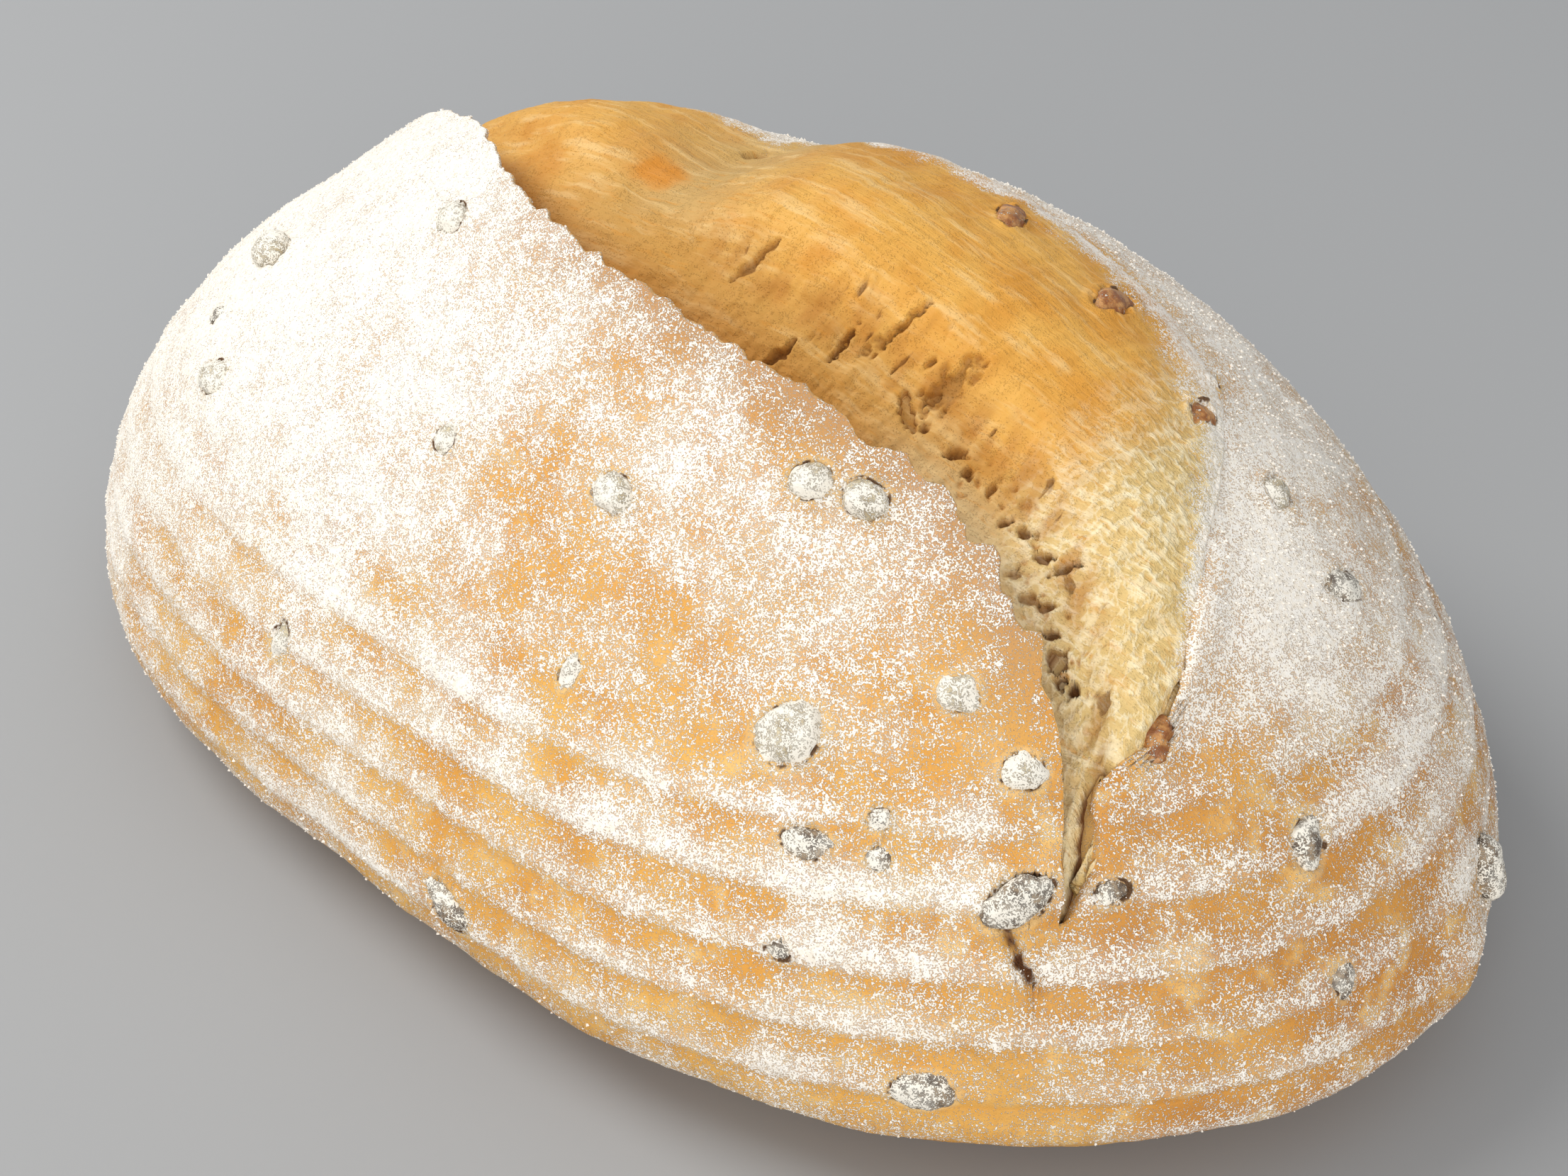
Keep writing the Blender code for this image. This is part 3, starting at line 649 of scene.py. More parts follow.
# Patches where the flour lies thicker or has rubbed off: place and reach in millimetres, and
# the amount
FLOUR_PATCHES = (
    (10.5, -33.3, 85.4, 4.5, -0.3), (-3.4, -50.3, 70.5, 11, -0.16), (8.2, -55.1, 65.5, 10, -0.26),
    (27.1, -52.7, 66.7, 11, -0.28), (17.9, -63.2, 54, 8, -0.22), (40.5, -57.4, 58.2, 9, -0.26),
    (-2.2, -65.6, 49.1, 6, 0.34), (-32, -62.5, 52, 8, 0.3), (45.4, -31.5, 78.5, 8, 0.24),
    (19.3, -35.5, 82.8, 11, 0.1), (10.6, -68.3, 45.2, 6, 0.3), (29.9, -67.5, 45.6, 6.5, 0.22),
    (69.4, -42.2, 59.9, 8, -0.3), (64.7, -52, 53.3, 7, -0.26), (74, -50.9, 48.6, 7, 0.26),
    (62.9, -62.3, 40.7, 7, 0.26), (98.4, -19.9, 50.6, 8, -0.24), (101.4, -33.7, 38.5, 5, -0.2),
    (91.8, -1.9, 60.7, 11, 0.34), (82.5, 6, 68.1, 11, 0.34), (111.2, -7.7, 38.6, 9, -0.18),
    (84.3, -59.4, 16.9, 9, -0.4), (61.4, -69.9, 20.1, 6, 0.34), (15.5, -75.1, 25.7, 10, -0.16),
    (-54.4, -69.7, 23.5, 12, -0.3), (107.2, -36.5, 23.9, 9, -0.22), (85.5, -51, 37, 4.5, 0.3),
    (90, -47, 39, 5, 0.24),
)


def flour_on(points, marks, inner, away, from_ear, from_rim):
    """How thickly flour lies: white at the far left, thin on the flank, in lines on the rings."""
    x, y, z = points.T
    far_left = 0.40 * ease(0.020, -0.055, x) * ease(0.032, 0.068, z)
    far_left = far_left + 0.20 * ease(-0.050, -0.100, x) * ease(0.010, 0.030, z)
    right_crust = 0.16 * ease(-0.012, 0.018, y) * ease(0.010, 0.032, z)
    foot = -0.35 * ease(0.014, 0.004, z)
    blots = 0.18 * grain(points, 0.020, 21, 2.0) + 0.16 * grain(points, 0.0060, 22, 2.0)
    lines = (0.44 - 0.06 * ease(0.050, 0.085, x)) * (marks - 0.47) * (1 - 0.45 * ease(0.0, -0.07, x))
    lines = lines * ease(0.062, 0.050, z)
    near_right = -0.07 * ease(0.066, 0.088, x) * ease(-0.066, -0.052, y) * ease(0.066, 0.050, z)
    ear_edge = -0.24 * bell(from_ear, 0.009) * ease(-0.04, 0.00, x)
    rim_edge = -0.30 * bell(from_rim, 0.0085) * ease(0.070, 0.050, x)
    low = -0.24 * ease(0.066, 0.030, z) * (1 - 0.35 * ease(0.045, 0.070, x))
    low = low + 0.17 * ease(0.015, -0.045, x) * ease(0.050, 0.028, z)
    ear_side = -0.10 * bell(x - 0.060, 0.016) * ease(0.055, 0.066, z) * ease(0.0, -0.02, y)
    density = 0.625 + low + far_left + right_crust + foot + blots + lines
    density = density + ear_edge + ear_side + rim_edge + near_right
    for *place, reach, amount in FLOUR_PATCHES:
        gap = np.linalg.norm(points - np.array(place) * MILLIMETRE + BOX_MIDDLE, axis=1)
        density = density + 0.75 * amount * bell(gap, reach * MILLIMETRE)
    bare = 0.12 * bell(away - 1.12, 0.12)
    return np.clip((density - bare) * (1 - inner), 0.0, 1.2)


crust, crust_points, crust_inner, crust_away, crust_marks, from_crack = shape_crust()
from_ear = distance_to(EAR_CURVE, crust_points)
from_rim = distance_to(CRUST_CURVE, crust_points)
crust_flour = flour_on(crust_points, crust_marks, crust_inner, crust_away, from_ear, from_rim)
along, across, high = crust_points.T
browned = ease(0.058, 0.092, along) * ease(-0.068, -0.040, across) * ease(0.072, 0.048, high)
set_fields(crust, {
    "flour": crust_flour,
    "inner": crust_inner,
    "away": crust_away,
    "crack": from_crack / MILLIMETRE,
    "marks": crust_marks,
    "toast": bell(from_ear, 0.0075) * ease(-0.05, 0.0, along) * (1 - ease(0.066, 0.080, along)),
    "brown": browned * (0.75 + 0.5 * grain(crust_points, 0.014, 61, 2.0)),
    "gilded": bell(from_rim, 0.007) * (1 - ease(0.050, 0.070, along)),
})
crust.data.shade_smooth()


def wire(tree, socket, value):
    if isinstance(value, bpy.types.NodeSocket):
        tree.links.new(value, socket)
    else:
        socket.default_value = value


def calc(tree, operation, *values):
    """A Math node: its operation on sockets or plain numbers."""
    node = tree.nodes.new("ShaderNodeMath")
    node.operation = operation
    for socket, value in zip(node.inputs, values):
        wire(tree, socket, value)
    return node.outputs[0]


def times(tree, first, second):
    return calc(tree, "MULTIPLY", first, second)


def weighted(tree, *pairs):
    """The sum of sockets, each times its weight."""
    total = 0.0
    for value, weight in pairs:
        total = calc(tree, "ADD", total, times(tree, value, weight))
    return total


def soft_step(tree, value, low, high, start=0.0, end=1.0):
    """Smooth change from start to end while the value goes from low to high."""
    node = tree.nodes.new("ShaderNodeMapRange")
    node.interpolation_type = "SMOOTHSTEP"
    names = ("Value", "From Min", "From Max", "To Min", "To Max")
    for name, put in zip(names, (value, low, high, start, end)):
        wire(tree, node.inputs[name], put)
    return node.outputs["Result"]


def blend(tree, share, first, second):
    """A colour mix: first where share is 0, second where it is 1."""
    node = tree.nodes.new("ShaderNodeMix")
    node.data_type = "RGBA"
    node.clamp_factor = True
    colours = [c if isinstance(c, bpy.types.NodeSocket) else (*c, 1.0) for c in (first, second)]
    wire(tree, node.inputs[0], share)
    wire(tree, node.inputs[6], colours[0])
    wire(tree, node.inputs[7], colours[1])
    return node.outputs[2]


def lay_over(tree, base, coats):
    """Coats of colour over a base, one after another: how much of each shows, and its colour."""
    for share, colour in coats:
        base = blend(tree, share, base, colour)
    return base


def mottle(tree, coords, size, detail=2.0, roughness=0.55, stretch=None):
    """Noise with features of a size in metres, 0 to 1 about a half."""
    if stretch is not None:
        mapping = tree.nodes.new("ShaderNodeMapping")
        mapping.inputs["Rotation"].default_value = (0.0, 0.0, stretch[0])
        mapping.inputs["Scale"].default_value = stretch[1]
        tree.links.new(coords, mapping.inputs["Vector"])
        coords = mapping.outputs["Vector"]
    node = tree.nodes.new("ShaderNodeTexNoise")
    node.inputs["Scale"].default_value = 1.0 / size
    node.inputs["Detail"].default_value = detail
    node.inputs["Roughness"].default_value = roughness
    tree.links.new(coords, node.inputs["Vector"])
    return node.outputs[0]


def field(tree, name, most=1.0):
    """A number stored at the vertices, times the most that it counts for."""
    node = tree.nodes.new("ShaderNodeAttribute")
    node.attribute_name = name
    return times(tree, node.outputs["Fac"], most) if most != 1.0 else node.outputs["Fac"]


def start_material(name):
    material = bpy.data.materials.new(name)
    material.use_nodes = True
    tree = material.node_tree
    shader = tree.nodes["Principled BSDF"]
    coords = tree.nodes.new("ShaderNodeTexCoord").outputs["Object"]
    return material, tree, shader, coords


def set_bump(tree, shader, height, reach):
    """Relief from a height that runs from 0 to 1, reach metres tall."""
    bump = tree.nodes.new("ShaderNodeBump")
    bump.inputs["Strength"].default_value = 1.0
    bump.inputs["Distance"].default_value = reach
    tree.links.new(height, bump.inputs["Height"])
    tree.links.new(bump.outputs["Normal"], shader.inputs["Normal"])


# The level of noise over which flour shows: on bare crust, and how far it falls with density
BARE_LEVEL = 0.592
LEVEL_FALL = 0.185


def flour_group():
    """Flour as it lies on bread: fine grains over a thin veil. Gives its cover and its height."""
    group = bpy.data.node_groups.new("flour_dusting", "ShaderNodeTree")
    group.interface.new_socket("Position", in_out="INPUT", socket_type="NodeSocketVector")
    for name, way in (("Density", "INPUT"), ("Cover", "OUTPUT"), ("Height", "OUTPUT")):
        group.interface.new_socket(name, in_out=way, socket_type="NodeSocketFloat")
    out = group.nodes.new("NodeGroupOutput")
    coords, density = group.nodes.new("NodeGroupInput").outputs[:2]
    fine = mottle(group, coords, 0.00025, 1.5, 0.6)
    coarse = mottle(group, coords, 0.00075, 2.0, 0.6)
    clumps = mottle(group, coords, 0.0036, 2.0, 0.55)
    mixed = weighted(group, (fine, 0.56), (coarse, 0.28), (clumps, 0.16))
    level = calc(group, "SUBTRACT", BARE_LEVEL, times(group, density, LEVEL_FALL))
    low, high = calc(group, "SUBTRACT", level, 0.035), calc(group, "ADD", level, 0.045)
    lumps = soft_step(group, mixed, low, high)
    veil = soft_step(group, density, 0.35, 1.15, 0.0, 0.88)
    wire(group, out.inputs["Cover"], calc(group, "MAXIMUM", lumps, veil))
    wire(group, out.inputs["Height"], weighted(group, (lumps, 0.6), (mixed, 0.8)))
    return group


FLOUR_GROUP = flour_group()
FLOUR_WHITE = (0.90, 0.855, 0.785)
FLOUR_CREAM = (0.85, 0.775, 0.665)
CRUST_GOLD = (0.745, 0.415, 0.100)
CRUST_ORANGE = (0.655, 0.300, 0.050)
CRUST_PALE = (0.79, 0.50, 0.180)
CRUST_TOAST = (0.46, 0.24, 0.10)
CRUST_BROWN = (0.50, 0.205, 0.038)
CRUST_GILT = (0.77, 0.46, 0.135)
CRUMB_GOLD = (0.76, 0.50, 0.19)
CREASE_SHADE_BROWN = (0.13, 0.065, 0.028)
CRACK_SHADE_BROWN = (0.10, 0.035, 0.01)
COLLAR_CREAM = (0.80, 0.63, 0.34)


def dust(tree, coords, density):
    node = tree.nodes.new("ShaderNodeGroup")
    node.node_tree = FLOUR_GROUP
    wire(tree, node.inputs["Position"], coords)
    wire(tree, node.inputs["Density"], density)
    return node.outputs["Cover"], node.outputs["Height"]


def crease_shade_at(tree, coords, away):
    """Painted shade: a dark, broken line in the gap where bread parts from an olive."""
    near = soft_step(tree, away, 1.10, 1.00)
    broken = soft_step(tree, mottle(tree, coords, 0.0020, 2.0), 0.50, 0.60)
    return times(tree, near, broken)


def crust_material():
    material, tree, shader, coords = start_material("floured_crust")
    cover, height = dust(tree, coords, field(tree, "flour"))
    tone = soft_step(tree, mottle(tree, coords, 0.013, 3.0), 0.36, 0.66)
    specks = soft_step(tree, mottle(tree, coords, 0.0007, 2.0), 0.40, 0.65)
    away = field(tree, "away")
    crack_wide = CRACK_WIDTH / MILLIMETRE
    colour = lay_over(tree, blend(tree, tone, CRUST_GOLD, CRUST_ORANGE), (
        (field(tree, "brown", 0.85), CRUST_BROWN),
        (soft_step(tree, mottle(tree, coords, 0.006, 3.0), 0.50, 0.72), CRUST_PALE),
        # deeper orange in each ring's groove under its ledge: painted shade
        (soft_step(tree, field(tree, "marks"), 0.30, 0.0, 0.0, 0.40), CRUST_ORANGE),
        (field(tree, "toast", 0.85), CRUST_TOAST),
        (field(tree, "gilded", 0.45), CRUST_GILT),
        (field(tree, "inner"), CRUMB_GOLD),
        (soft_step(tree, away, 1.38, 1.15, 0.0, 0.35), COLLAR_CREAM),
        (cover, blend(tree, specks, FLOUR_WHITE, FLOUR_CREAM)),
        (crease_shade_at(tree, coords, away), CREASE_SHADE_BROWN),
        # painted shade down in the crack
        (soft_step(tree, field(tree, "crack"), 1.2 * crack_wide, 0.5 * crack_wide), CRACK_SHADE_BROWN),
    ))
    wire(tree, shader.inputs["Base Color"], colour)
    wire(tree, shader.inputs["Roughness"], soft_step(tree, cover, 0.0, 1.0, 0.60, 0.95))
    shader.inputs["Specular IOR Level"].default_value = 0.28
    set_bump(tree, shader, height, 0.00022)
    return material


crust.data.materials.append(crust_material())
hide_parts("loaf")
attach(crust, "root")


# The bloom: crumb that burst out of the slash as the loaf sprang in the oven. It is stretched
# gold skin on the two lobes, torn along the ear's side, and soft cream crumb at the near end.
BLOOM_RINGS = 506
BLOOM_STEPS = 184
BLOOM_BACK_STEPS = 8
BLOOM_THICKNESS = 0.0022
BLOOM_UNDER_EAR = 0.0065
BLOOM_UNDER_LIP = 0.0024
BLOOM_TUCK = 0.0014
BLOOM_SHUT = 0.0016
BLOOM_ENDS = (SCORE_REACH[0] + 0.001, SCORE_REACH[1] - 0.0006)
BLOOM_GAP = 0.00062
BLOOM_GAP_FINE = 0.00028
BLOOM_TRIALS = 4001
FIBRE_TURN = (74.0, 76.0)
DEEP_HOLLOW = 2.2

# Torn holes and hollows, in millimetres: place along and across, half sizes, turn in degrees,
# depth
HOLLOWS = (
    (16.5, -19, 3, 0.8, 60, 1.5), (24, -12.5, 2.9, 0.7, 80, 1.6), (30, -6, 4.4, 0.6, 75, 1.2),
    (28.5, -9.5, 2.6, 1, 65, 0.8), (37.5, -14, 2.6, 1, 140, 3.4), (40, -8.5, 4.6, 2, 75, 1),
    (38.8, -11.2, 1.4, 0.6, 60, 1.6), (40.5, -14.5, 1.3, 0.6, 70, 1.4),
    (46, -14.5, 1.8, 0.8, 50, 1.4), (49, -15.5, 1.3, 0.9, 60, 1.4), (36, -7.5, 1, 0.5, 70, 1.1),
    (53, -15, 1, 0.5, 75, 1), (57, -17.5, 1.2, 0.6, 75, 1.2), (60, -17, 1.4, 0.9, 50, 1.4),
    (63.5, -18, 1.7, 0.7, 40, 1.4), (66.5, -17.5, 1.9, 0.6, 60, 1.4), (68, -18.5, 1, 0.7, 120, 1),
    (62, -22, 1, 0.8, 90, 1), (64.5, -24, 1.8, 0.8, 40, 1.1), (67.5, -22.5, 1.4, 0.7, 40, 1.3),
    (69.5, -25, 1.7, 0.6, 40, 1.6), (72, -26.5, 1.6, 1.2, 120, 3.4), (74, -28, 1.1, 0.6, 50, 2.2),
    (75.5, -28, 1, 0.9, 100, 2), (85.5, -31.5, 1.1, 0.8, 60, 1.2), (5, -10, 4, 0.8, 62, 1),
    (-17, 19, 2.4, 1.3, 50, 0.9),
)


def bloom_section(x):
    """One flat closed loop of the bloom at x: its top from under the ear to under the lip, and
    its hidden back. Also each point's place along and across the slash, with the share of the
    way across, and 1 on the top."""
    edge = float(line_at(EAR_LINE, x))
    rim = float(line_at(CRUST_LINE, x))
    opening = float(score_opening(x))
    start = edge - BLOOM_UNDER_EAR * opening
    end = rim + BLOOM_UNDER_LIP
    top_y = np.linspace(start, end, BLOOM_STEPS + 1)
    back_y = np.linspace(end, start, BLOOM_BACK_STEPS + 2)[1:-1]
    under_lip = BLOOM_TUCK * ease(0.0, BLOOM_UNDER_LIP, top_y - rim)
    shut = BLOOM_SHUT * (1 - opening)
    top_rise = bloom_rise(x, top_y) * opening - shut - under_lip
    top_rise = top_rise - saddle_behind(x, top_y) * (top_y > rim)
    back_rise = bloom_rise(x, back_y) * opening - shut - BLOOM_THICKNESS
    y = np.concatenate([top_y, back_y])
    points = raised(x, y, np.concatenate([top_rise, back_rise]))
    slash = np.stack([np.full(len(y), x), y, (y - edge) / (rim - edge)], -1)
    return points, slash, np.concatenate([np.ones(len(top_y)), np.zeros(len(back_y))])


def turned_plan(points, turn):
    """Places along and across a direction in the plan."""
    x, y = points[:, 0], points[:, 1]
    c, s = np.cos(turn), np.sin(turn)
    return x * c + y * s, y * c - x * s


def fibres(points, along, across, seed, octaves=1.5):
    """Uneven field drawn out along the way the dough stretched."""
    turned = FIBRE_TURN[0] + (FIBRE_TURN[1] - FIBRE_TURN[0]) * ease(0.040, 0.080, points[:, 0])
    run, side = turned_plan(points, np.radians(turned))
    flat = np.stack([run / along, side / across, points[:, 2] / (across * 3)], -1)
    return grain(flat, 1.0, seed, octaves)


def web(points, size, seed):
    """Walls of uneven bubbles, drawn out along the stretch: 1 on a wall, 0 within a bubble."""
    bent = points + 0.0016 * np.stack([grain(points, 0.0035, seed + k, 3.0) for k in range(3)], -1)
    run, side = turned_plan(bent, math.radians(FIBRE_TURN[1]))
    cells = np.stack([run * 0.30, side, bent[:, 2]], -1) / size
    gaps = np.array([noise.voronoi(Vector(p))[0][:2] for p in cells])
    return 1 - ease(0.02, 0.38, gaps[:, 1] - gaps[:, 0])


def shape_bloom():
    trial = np.linspace(*BLOOM_ENDS, BLOOM_TRIALS)
    spacing = BLOOM_GAP - (BLOOM_GAP - BLOOM_GAP_FINE) * ease(-0.015, 0.012, trial)
    sections = [bloom_section(place) for place in spread_places(trial, spacing, BLOOM_RINGS)]
    tips = [s[0].mean(0) for s in (sections[-1], sections[0])]
    piece, points, spread = sphere_of_rings("bloom_crumb", [s[0] for s in sections], *tips)
    slash = spread([s[1] for s in sections], sections[-1][1].mean(0), sections[0][1].mean(0))
    x, y, share = slash.T
    top = spread([s[2] for s in sections], 0.0, 0.0)
    points -= BOX_MIDDLE
    set_points(piece, points)
    normals = vertex_normals(piece)

    near = ease(0.050, 0.068, x + 0.004 * grain(points, 0.010, 40, 2.0))
    wavy = share + 0.05 * grain(points, 0.006, 41, 2.0)
    torn = (1 - ease(TERRACE_SHARE + 0.02, STEP_SHARE + 0.05, wavy)) * ease(-0.045, -0.010, x)
    smooth = 1 - torn
    d = 0.00050 * grain(points, 0.012, 42, 2.0) * smooth
    d += 0.00032 * fibres(points, 0.018, 0.0032, 43) * smooth
    d += 0.00019 * fibres(points, 0.009, 0.0011, 44) * (0.8 + 0.7 * near)
    d += 0.00007 * fibres(points, 0.005, 0.00045, 45) * (0.7 + 0.8 * near)
    d += (0.0006 * grain(points, 0.0065, 46, 2.0) + 0.00022 * grain(points, 0.0016, 47, 2.0)) * torn
    strands = np.clip(fibres(points, 0.010, 0.0014, 48), 0.0, 1.0)
    d += 0.0005 * strands * (0.3 + 0.5 * near)
    walls = web(points, 0.0017, 55)
    d += 0.00013 * walls * np.clip(near + 0.5 * torn, 0, 1)
    band = bell(share - 0.30, 0.09) * ease(-0.02, 0.01, x)
    slit = fibres(points, 0.0065, 0.0013, 49, 2.0)
    d -= 0.0009 * ease(0.50, 0.85, slit) * band
    pitted = bell(share - 0.20, 0.10) * ease(0.040, 0.050, x) * ease(0.084, 0.076, x)
    pits = ease(0.22, 0.70, grain(points, 0.0016, 60, 2.0)) * pitted
    d -= 0.0007 * pits
    gouge_shade = np.zeros(len(points))
    for along, across, half_long, half_wide, turn, depth in HOLLOWS:
        run, side = turned_plan(slash[:, :2] / MILLIMETRE - (along, across), math.radians(turn))
        gap = np.hypot(run / half_long, side / half_wide)
        beside = gap < 2.5
        gap[beside] += 0.75 * grain(points[beside], 0.0012, 51, 2.0)
        d -= depth * MILLIMETRE * (1 - ease(0.45, 1.15, gap))
        # How dark each hollow's painted shade is: more in the deeper ones
        strength = min(1.0, max(0.3, depth / DEEP_HOLLOW))
        gouge_shade = np.maximum(gouge_shade, strength * (1 - ease(0.40, 1.10, gap)))
    crevice = ease(0.0822, 0.0838, x) * bell(share - 0.26 - 0.04 * slit, 0.09)
    strip = ease(0.080, 0.084, x) * (1 - ease(0.10, 0.22, share))
    d += (0.0016 + 0.0003 * grain(points, 0.0013, 58, 2.0)) * strip
    d -= 0.0020 * crevice + 0.0020 * ease(0.34, 0.42, share) * ease(0.0835, 0.0855, x)
    d *= 1 - ease(0.98, 1.06, share)
    sink, away = press_olives(points)
    d += sink
    points = points + normals * (d * top)[:, None]
    set_points(piece, points)
    # Painted shade, not a colour of the crumb: darker under the ear's edge at the far end, in sunken
    # torn crumb, in the pits and along the step
    shade = 0.85 * (1 - ease(0.0, 0.20, share)) * (1 - ease(0.025, 0.045, x))
    shade = np.maximum(shade, 0.45 * np.clip(-d / 0.0014, 0, 1) * torn)
    shade = np.maximum(shade, 0.75 * pits)
    step = bell(share - 0.27, 0.07) * ease(-0.02, 0.01, x)
    shade = np.maximum(shade, 0.6 * step * ease(-0.4, 0.5, fibres(points, 0.006, 0.002, 56)))
    bake = smooth * (1 - 0.92 * near) + 0.08 * grain(points, 0.012, 52, 2.0)
    pocket = np.hypot((x + 0.0225) / 0.0050, (y - 0.0015) / 0.0042)
    powdered = 0.84 - 0.12 * ease(0.040, 0.062, x)
    ragged = share + 0.06 * grain(points, 0.006, 57, 2.0)
    set_fields(piece, {
        "bake": np.clip(bake, 0, 1),
        "gouge_shade": gouge_shade,
        "pale": ease(0.030, 0.050, x) * (1 - ease(0.08, 0.22, share)),
        "strip": strip,
        "slit": slit * band,
        "crevice": crevice,
        "shade": shade,
        "near_end": near,
        "walls": walls,
        "saddle": hump(SADDLE, x - 0.002),
        "pocket": 1 - ease(0.4, 1.3, pocket + 0.3 * grain(points, 0.003, 59, 2.0)),
        "away": away,
        "flour": 0.80 * ease(powdered, 1.00, ragged) * ease(0.087, 0.081, x),
    })
    piece.data.shade_smooth()
    return piece


bloom = shape_bloom()
BLOOM_GOLD = (0.70, 0.37, 0.072)
BLOOM_DEEP = (0.62, 0.275, 0.035)
BLOOM_CREAM = (0.66, 0.485, 0.205)
BLOOM_TORN = (0.54, 0.28, 0.060)
BLOOM_HOLLOW_SHADE = (0.15, 0.048, 0.008)
BLOOM_LIGHT = (0.82, 0.58, 0.26)
# Brown of the painted shade under the ear, in the pits and along the step
BLOOM_SHADE = (0.40, 0.155, 0.018)
SADDLE_OLIVE = (0.50, 0.33, 0.12)
PALE_CRUMB = (0.64, 0.50, 0.27)
STRIP_CREAM = (0.80, 0.67, 0.40)
THREAD_LIGHT = (0.90, 0.79, 0.54)
THREAD_DARK = (0.60, 0.40, 0.14)
WALL_LIGHT = (0.92, 0.83, 0.60)
CELL_GOLD = (0.66, 0.46, 0.18)
POCKET_RUST = (0.60, 0.21, 0.008)


def bloom_material():
    material, tree, shader, coords = start_material("burst_crumb")
    turn = (math.radians(-FIBRE_TURN[0]), (0.13, 1.0, 0.35))
    near_turn = (math.radians(-FIBRE_TURN[1]), (0.16, 1.0, 0.6))
    near_end = field(tree, "near_end")
    streaks = mottle(tree, coords, 0.0020, 3.0, 0.6, turn)
    fine = mottle(tree, coords, 0.0008, 2.0, 0.6, turn)
    threads = mottle(tree, coords, 0.0010, 3.0, 0.65, near_turn)
    walls = field(tree, "walls")
    patches = soft_step(tree, mottle(tree, coords, 0.010, 2.0), 0.38, 0.68)
    gold = blend(tree, patches, BLOOM_GOLD, BLOOM_DEEP)
    gold = blend(tree, field(tree, "saddle", 0.75), gold, SADDLE_OLIVE)
    torn = blend(tree, near_end, BLOOM_TORN, BLOOM_CREAM)

    def at_near_end(share, most):
        return times(tree, times(tree, share, near_end), most)

    # Painted shade: dark brown down in the torn hollows, the slits and the near end's crevice
    slits = soft_step(tree, field(tree, "slit"), 0.42, 0.62, 0.0, 0.55)
    dark = calc(tree, "MAXIMUM", field(tree, "gouge_shade", 0.97), slits)
    deep = soft_step(tree, field(tree, "crevice"), 0.20, 0.6, 0.0, 0.92)
    cover, height = dust(tree, coords, field(tree, "flour"))
    dusted = times(tree, cover, soft_step(tree, field(tree, "flour"), 0.04, 0.30, 0.0, 0.9))
    base = lay_over(tree, blend(tree, field(tree, "bake"), torn, gold), (
        (field(tree, "pale", 0.8), PALE_CRUMB),
        (field(tree, "strip", 0.85), STRIP_CREAM),
        (soft_step(tree, streaks, 0.48, 0.70, 0.0, 0.50), BLOOM_LIGHT),
        (soft_step(tree, fine, 0.46, 0.26, 0.0, 0.55), BLOOM_DEEP),
        (at_near_end(soft_step(tree, threads, 0.50, 0.64), 0.60), THREAD_LIGHT),
        (at_near_end(soft_step(tree, walls, 0.55, 1.0), 0.40), WALL_LIGHT),
        (at_near_end(soft_step(tree, walls, 0.30, 0.0), 0.22), CELL_GOLD),
        (at_near_end(soft_step(tree, threads, 0.44, 0.28), 0.45), THREAD_DARK),
        # painted shade under the ear, in the pits and along the step
        (field(tree, "shade"), BLOOM_SHADE),
        (field(tree, "pocket", 0.8), POCKET_RUST),
        (calc(tree, "MAXIMUM", dark, deep), BLOOM_HOLLOW_SHADE),
        (dusted, FLOUR_WHITE),
        (crease_shade_at(tree, coords, field(tree, "away")), CREASE_SHADE_BROWN),
    ))
    wire(tree, shader.inputs["Base Color"], base)
    wire(tree, shader.inputs["Roughness"], soft_step(tree, field(tree, "bake"), 0.0, 1.0, 0.76, 0.60))
    shader.inputs["Specular IOR Level"].default_value = 0.32
    near_threads = times(tree, threads, near_end)
    bumps = weighted(tree, (streaks, 0.7), (fine, 0.6), (near_threads, 1.2), (height, 0.3))
    set_bump(tree, shader, bumps, 0.00040)
    return material


bloom.data.materials.append(bloom_material())
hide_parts("loaf")
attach(bloom, "root")


# The olives: chopped pieces bedded in the crust, rough where the knife and the dough tore them.
# Those on the floured flanks are coated pale, the others show dark skin or baked brown.
OLIVE_CUTS = 3
OLIVE_FLOUR = (0.84, 0.795, 0.70)

# Each finish: colour of the skin, colour of the cut flesh, how thick the flour, how rough
OLIVE_FINISH = {
    "olive_floured": ((0.40, 0.32, 0.20), (0.66, 0.56, 0.37), 0.78, 0.85),
    "olive_dark": ((0.11, 0.080, 0.058), (0.34, 0.25, 0.16), 0.66, 0.55),
    "olive_amber": ((0.25, 0.080, 0.016), (0.55, 0.27, 0.085), -0.10, 0.34),
}


def olive_material(slot_name):
    skin, flesh, flour, rough = OLIVE_FINISH[slot_name]
    material, tree, shader, coords = start_material(slot_name)
    tone = soft_step(tree, mottle(tree, coords, 0.0016, 3.0), 0.40, 0.66)
    base = blend(tree, tone, skin, flesh)
    heavy = calc(tree, "ADD", times(tree, mottle(tree, coords, 0.0030, 2.0), 2.0), flour - 1.0)
    cover, height = dust(tree, coords, heavy)
    wire(tree, shader.inputs["Base Color"], blend(tree, cover, base, OLIVE_FLOUR))
    wire(tree, shader.inputs["Roughness"], soft_step(tree, cover, 0.0, 1.0, rough, 0.95))
    set_bump(tree, shader, height, 0.00028)
    return material


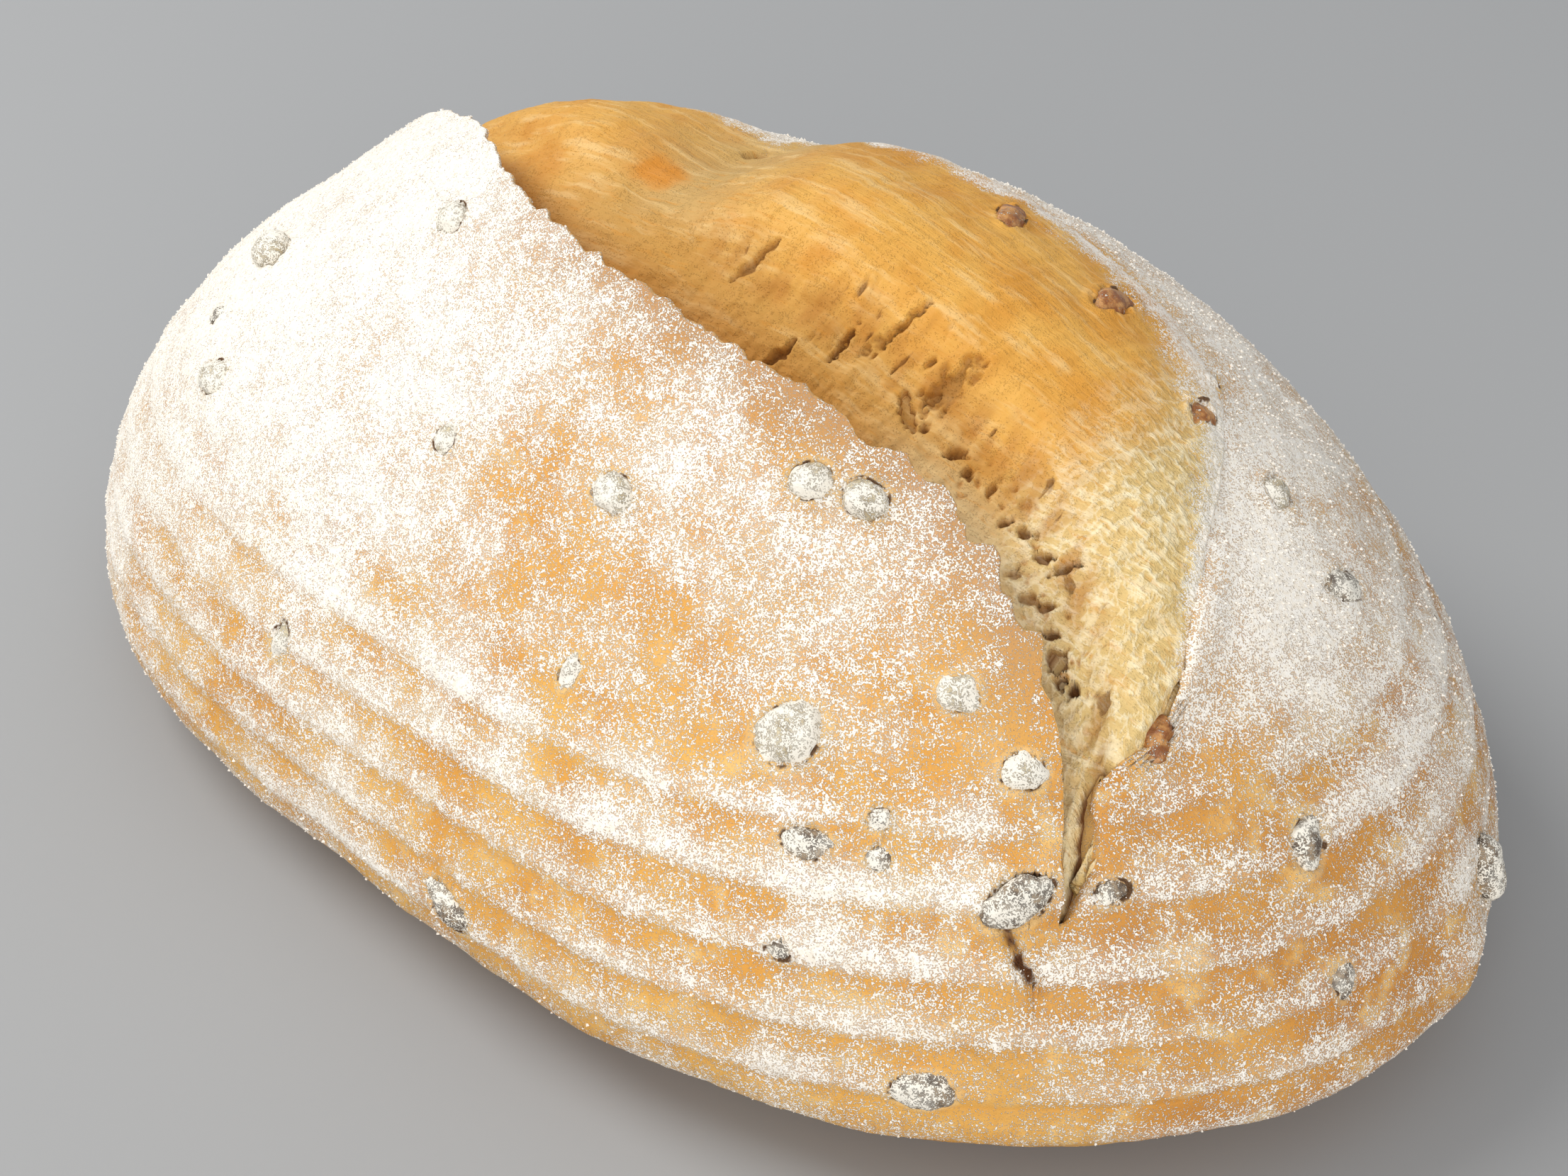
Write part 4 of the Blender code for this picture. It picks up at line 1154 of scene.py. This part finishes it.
def shape_olive(name, slot_name, seed, materials):
    """A copy of the olive's solid, made finer and roughened."""
    node = frame["nodes"][name]
    piece = node.copy()
    piece.data = node.data.copy()
    piece.parent = None
    piece.hide_render = False
    piece.hide_viewport = False
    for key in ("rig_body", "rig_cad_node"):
        if key in piece:
            del piece[key]
    piece.name = name.replace("olive_", "olive_piece_")
    piece.data.name = piece.name
    bpy.context.scene.collection.objects.link(piece)
    for other in bpy.context.view_layer.objects:
        other.select_set(other == piece)
    bpy.context.view_layer.objects.active = piece
    bpy.ops.object.mode_set(mode="EDIT")
    bpy.ops.mesh.select_all(action="SELECT")
    bpy.ops.mesh.remove_doubles(threshold=0.00001)
    bpy.ops.mesh.subdivide(number_cuts=OLIVE_CUTS, smoothness=0.9)
    bpy.ops.object.mode_set(mode="OBJECT")
    points = np.array([v.co for v in piece.data.vertices])
    normals = vertex_normals(piece)
    size = OLIVES[name]["half"].max()
    rough = 0.13 * size * grain(points, size * 0.8, seed, 2.0)
    rough = rough + 0.00016 * grain(points, 0.0012, seed + 1, 2.0)
    set_points(piece, points + normals * rough[:, None])
    piece.data.shade_smooth()
    piece.data.materials.clear()
    piece.data.materials.append(materials[slot_name])
    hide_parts(name)
    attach(piece, "root")


olive_materials = {slot_name: olive_material(slot_name) for slot_name in OLIVE_FINISH}
olive_slots = {p["node"]: p["material_slot"] for p in frame["record"]["subparts"]}
for number, olive_name in enumerate(sorted(OLIVES), start=1):
    shape_olive(olive_name, olive_slots[olive_name], 60 + number * 2, olive_materials)


# The loose flour: grains and small clumps that stand on the crust, thickest where the flour is
# thick. Each is a little uneven, with its middle about a third of its radius off the crust.
GRAIN_COUNT = 24000
GRAIN_SIZES = (0.00009, 0.00030)
GRAIN_SEED = 5
GRAIN_STAND = 0.35
LEAST_FLOUR = 0.15
GRAIN_CREAM = (0.90, 0.84, 0.75)


def scatter_flour():
    """Eight-sided grains, joined in one mesh, lying on the crust where its flour is."""
    rng = np.random.default_rng(GRAIN_SEED)
    crust.data.calc_loop_triangles()
    corners = np.empty(len(crust.data.loop_triangles) * 3, dtype=np.int32)
    crust.data.loop_triangles.foreach_get("vertices", corners)
    corners = corners.reshape(-1, 3)
    points = np.array([v.co for v in crust.data.vertices])
    a, b, c = (points[corners[:, i]] for i in range(3))
    normal = np.cross(b - a, c - a)
    area = np.linalg.norm(normal, axis=1)
    weight = area * np.clip(crust_flour[corners].mean(1) - LEAST_FLOUR, 0.0, 1.0)
    weight = weight * ease(0.004, 0.012, points[corners].mean(1)[:, 2])
    chosen = rng.choice(len(corners), GRAIN_COUNT, p=weight / weight.sum())
    mix = rng.random((GRAIN_COUNT, 2))
    flip = mix.sum(1) > 1
    mix[flip] = 1 - mix[flip]
    place = a[chosen] + (b - a)[chosen] * mix[:, :1] + (c - a)[chosen] * mix[:, 1:]
    out = normal[chosen] / area[chosen][:, None]
    size = GRAIN_SIZES[0] + (GRAIN_SIZES[1] - GRAIN_SIZES[0]) * rng.random(GRAIN_COUNT) ** 3
    octa = np.array([(1, 0, 0), (0, 1, 0), (-1, 0, 0), (0, -1, 0), (0, 0, 1), (0, 0, -1)], float)
    shape = octa[None] * rng.uniform(0.6, 1.3, (GRAIN_COUNT, 6, 1))
    shape = shape + rng.normal(0, 0.12, (GRAIN_COUNT, 6, 3))
    place = place + out * (size * GRAIN_STAND)[:, None]
    verts = (place[:, None] + shape * size[:, None, None]).reshape(-1, 3)
    pairs = [(i, (i + 1) % 4) for i in range(4)]
    faces = np.array([(i, j, 4) for i, j in pairs] + [(j, i, 5) for i, j in pairs])
    faces = (faces[None] + 6 * np.arange(GRAIN_COUNT)[:, None, None]).reshape(-1, 3)
    mesh = bpy.data.meshes.new("flour_grains")
    mesh.from_pydata(verts.tolist(), [], faces.tolist())
    mesh.update()
    piece = bpy.data.objects.new("flour_grains", mesh)
    bpy.context.scene.collection.objects.link(piece)
    return piece


def flour_material():
    material, tree, shader, coords = start_material("loose_flour")
    tone = mottle(tree, coords, 0.002, 2.0)
    wire(tree, shader.inputs["Base Color"], blend(tree, tone, FLOUR_WHITE, GRAIN_CREAM))
    shader.inputs["Roughness"].default_value = 0.95
    shader.inputs["Specular IOR Level"].default_value = 0.2
    return material


grains = scatter_flour()
grains.data.materials.append(flour_material())
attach(grains, "root")
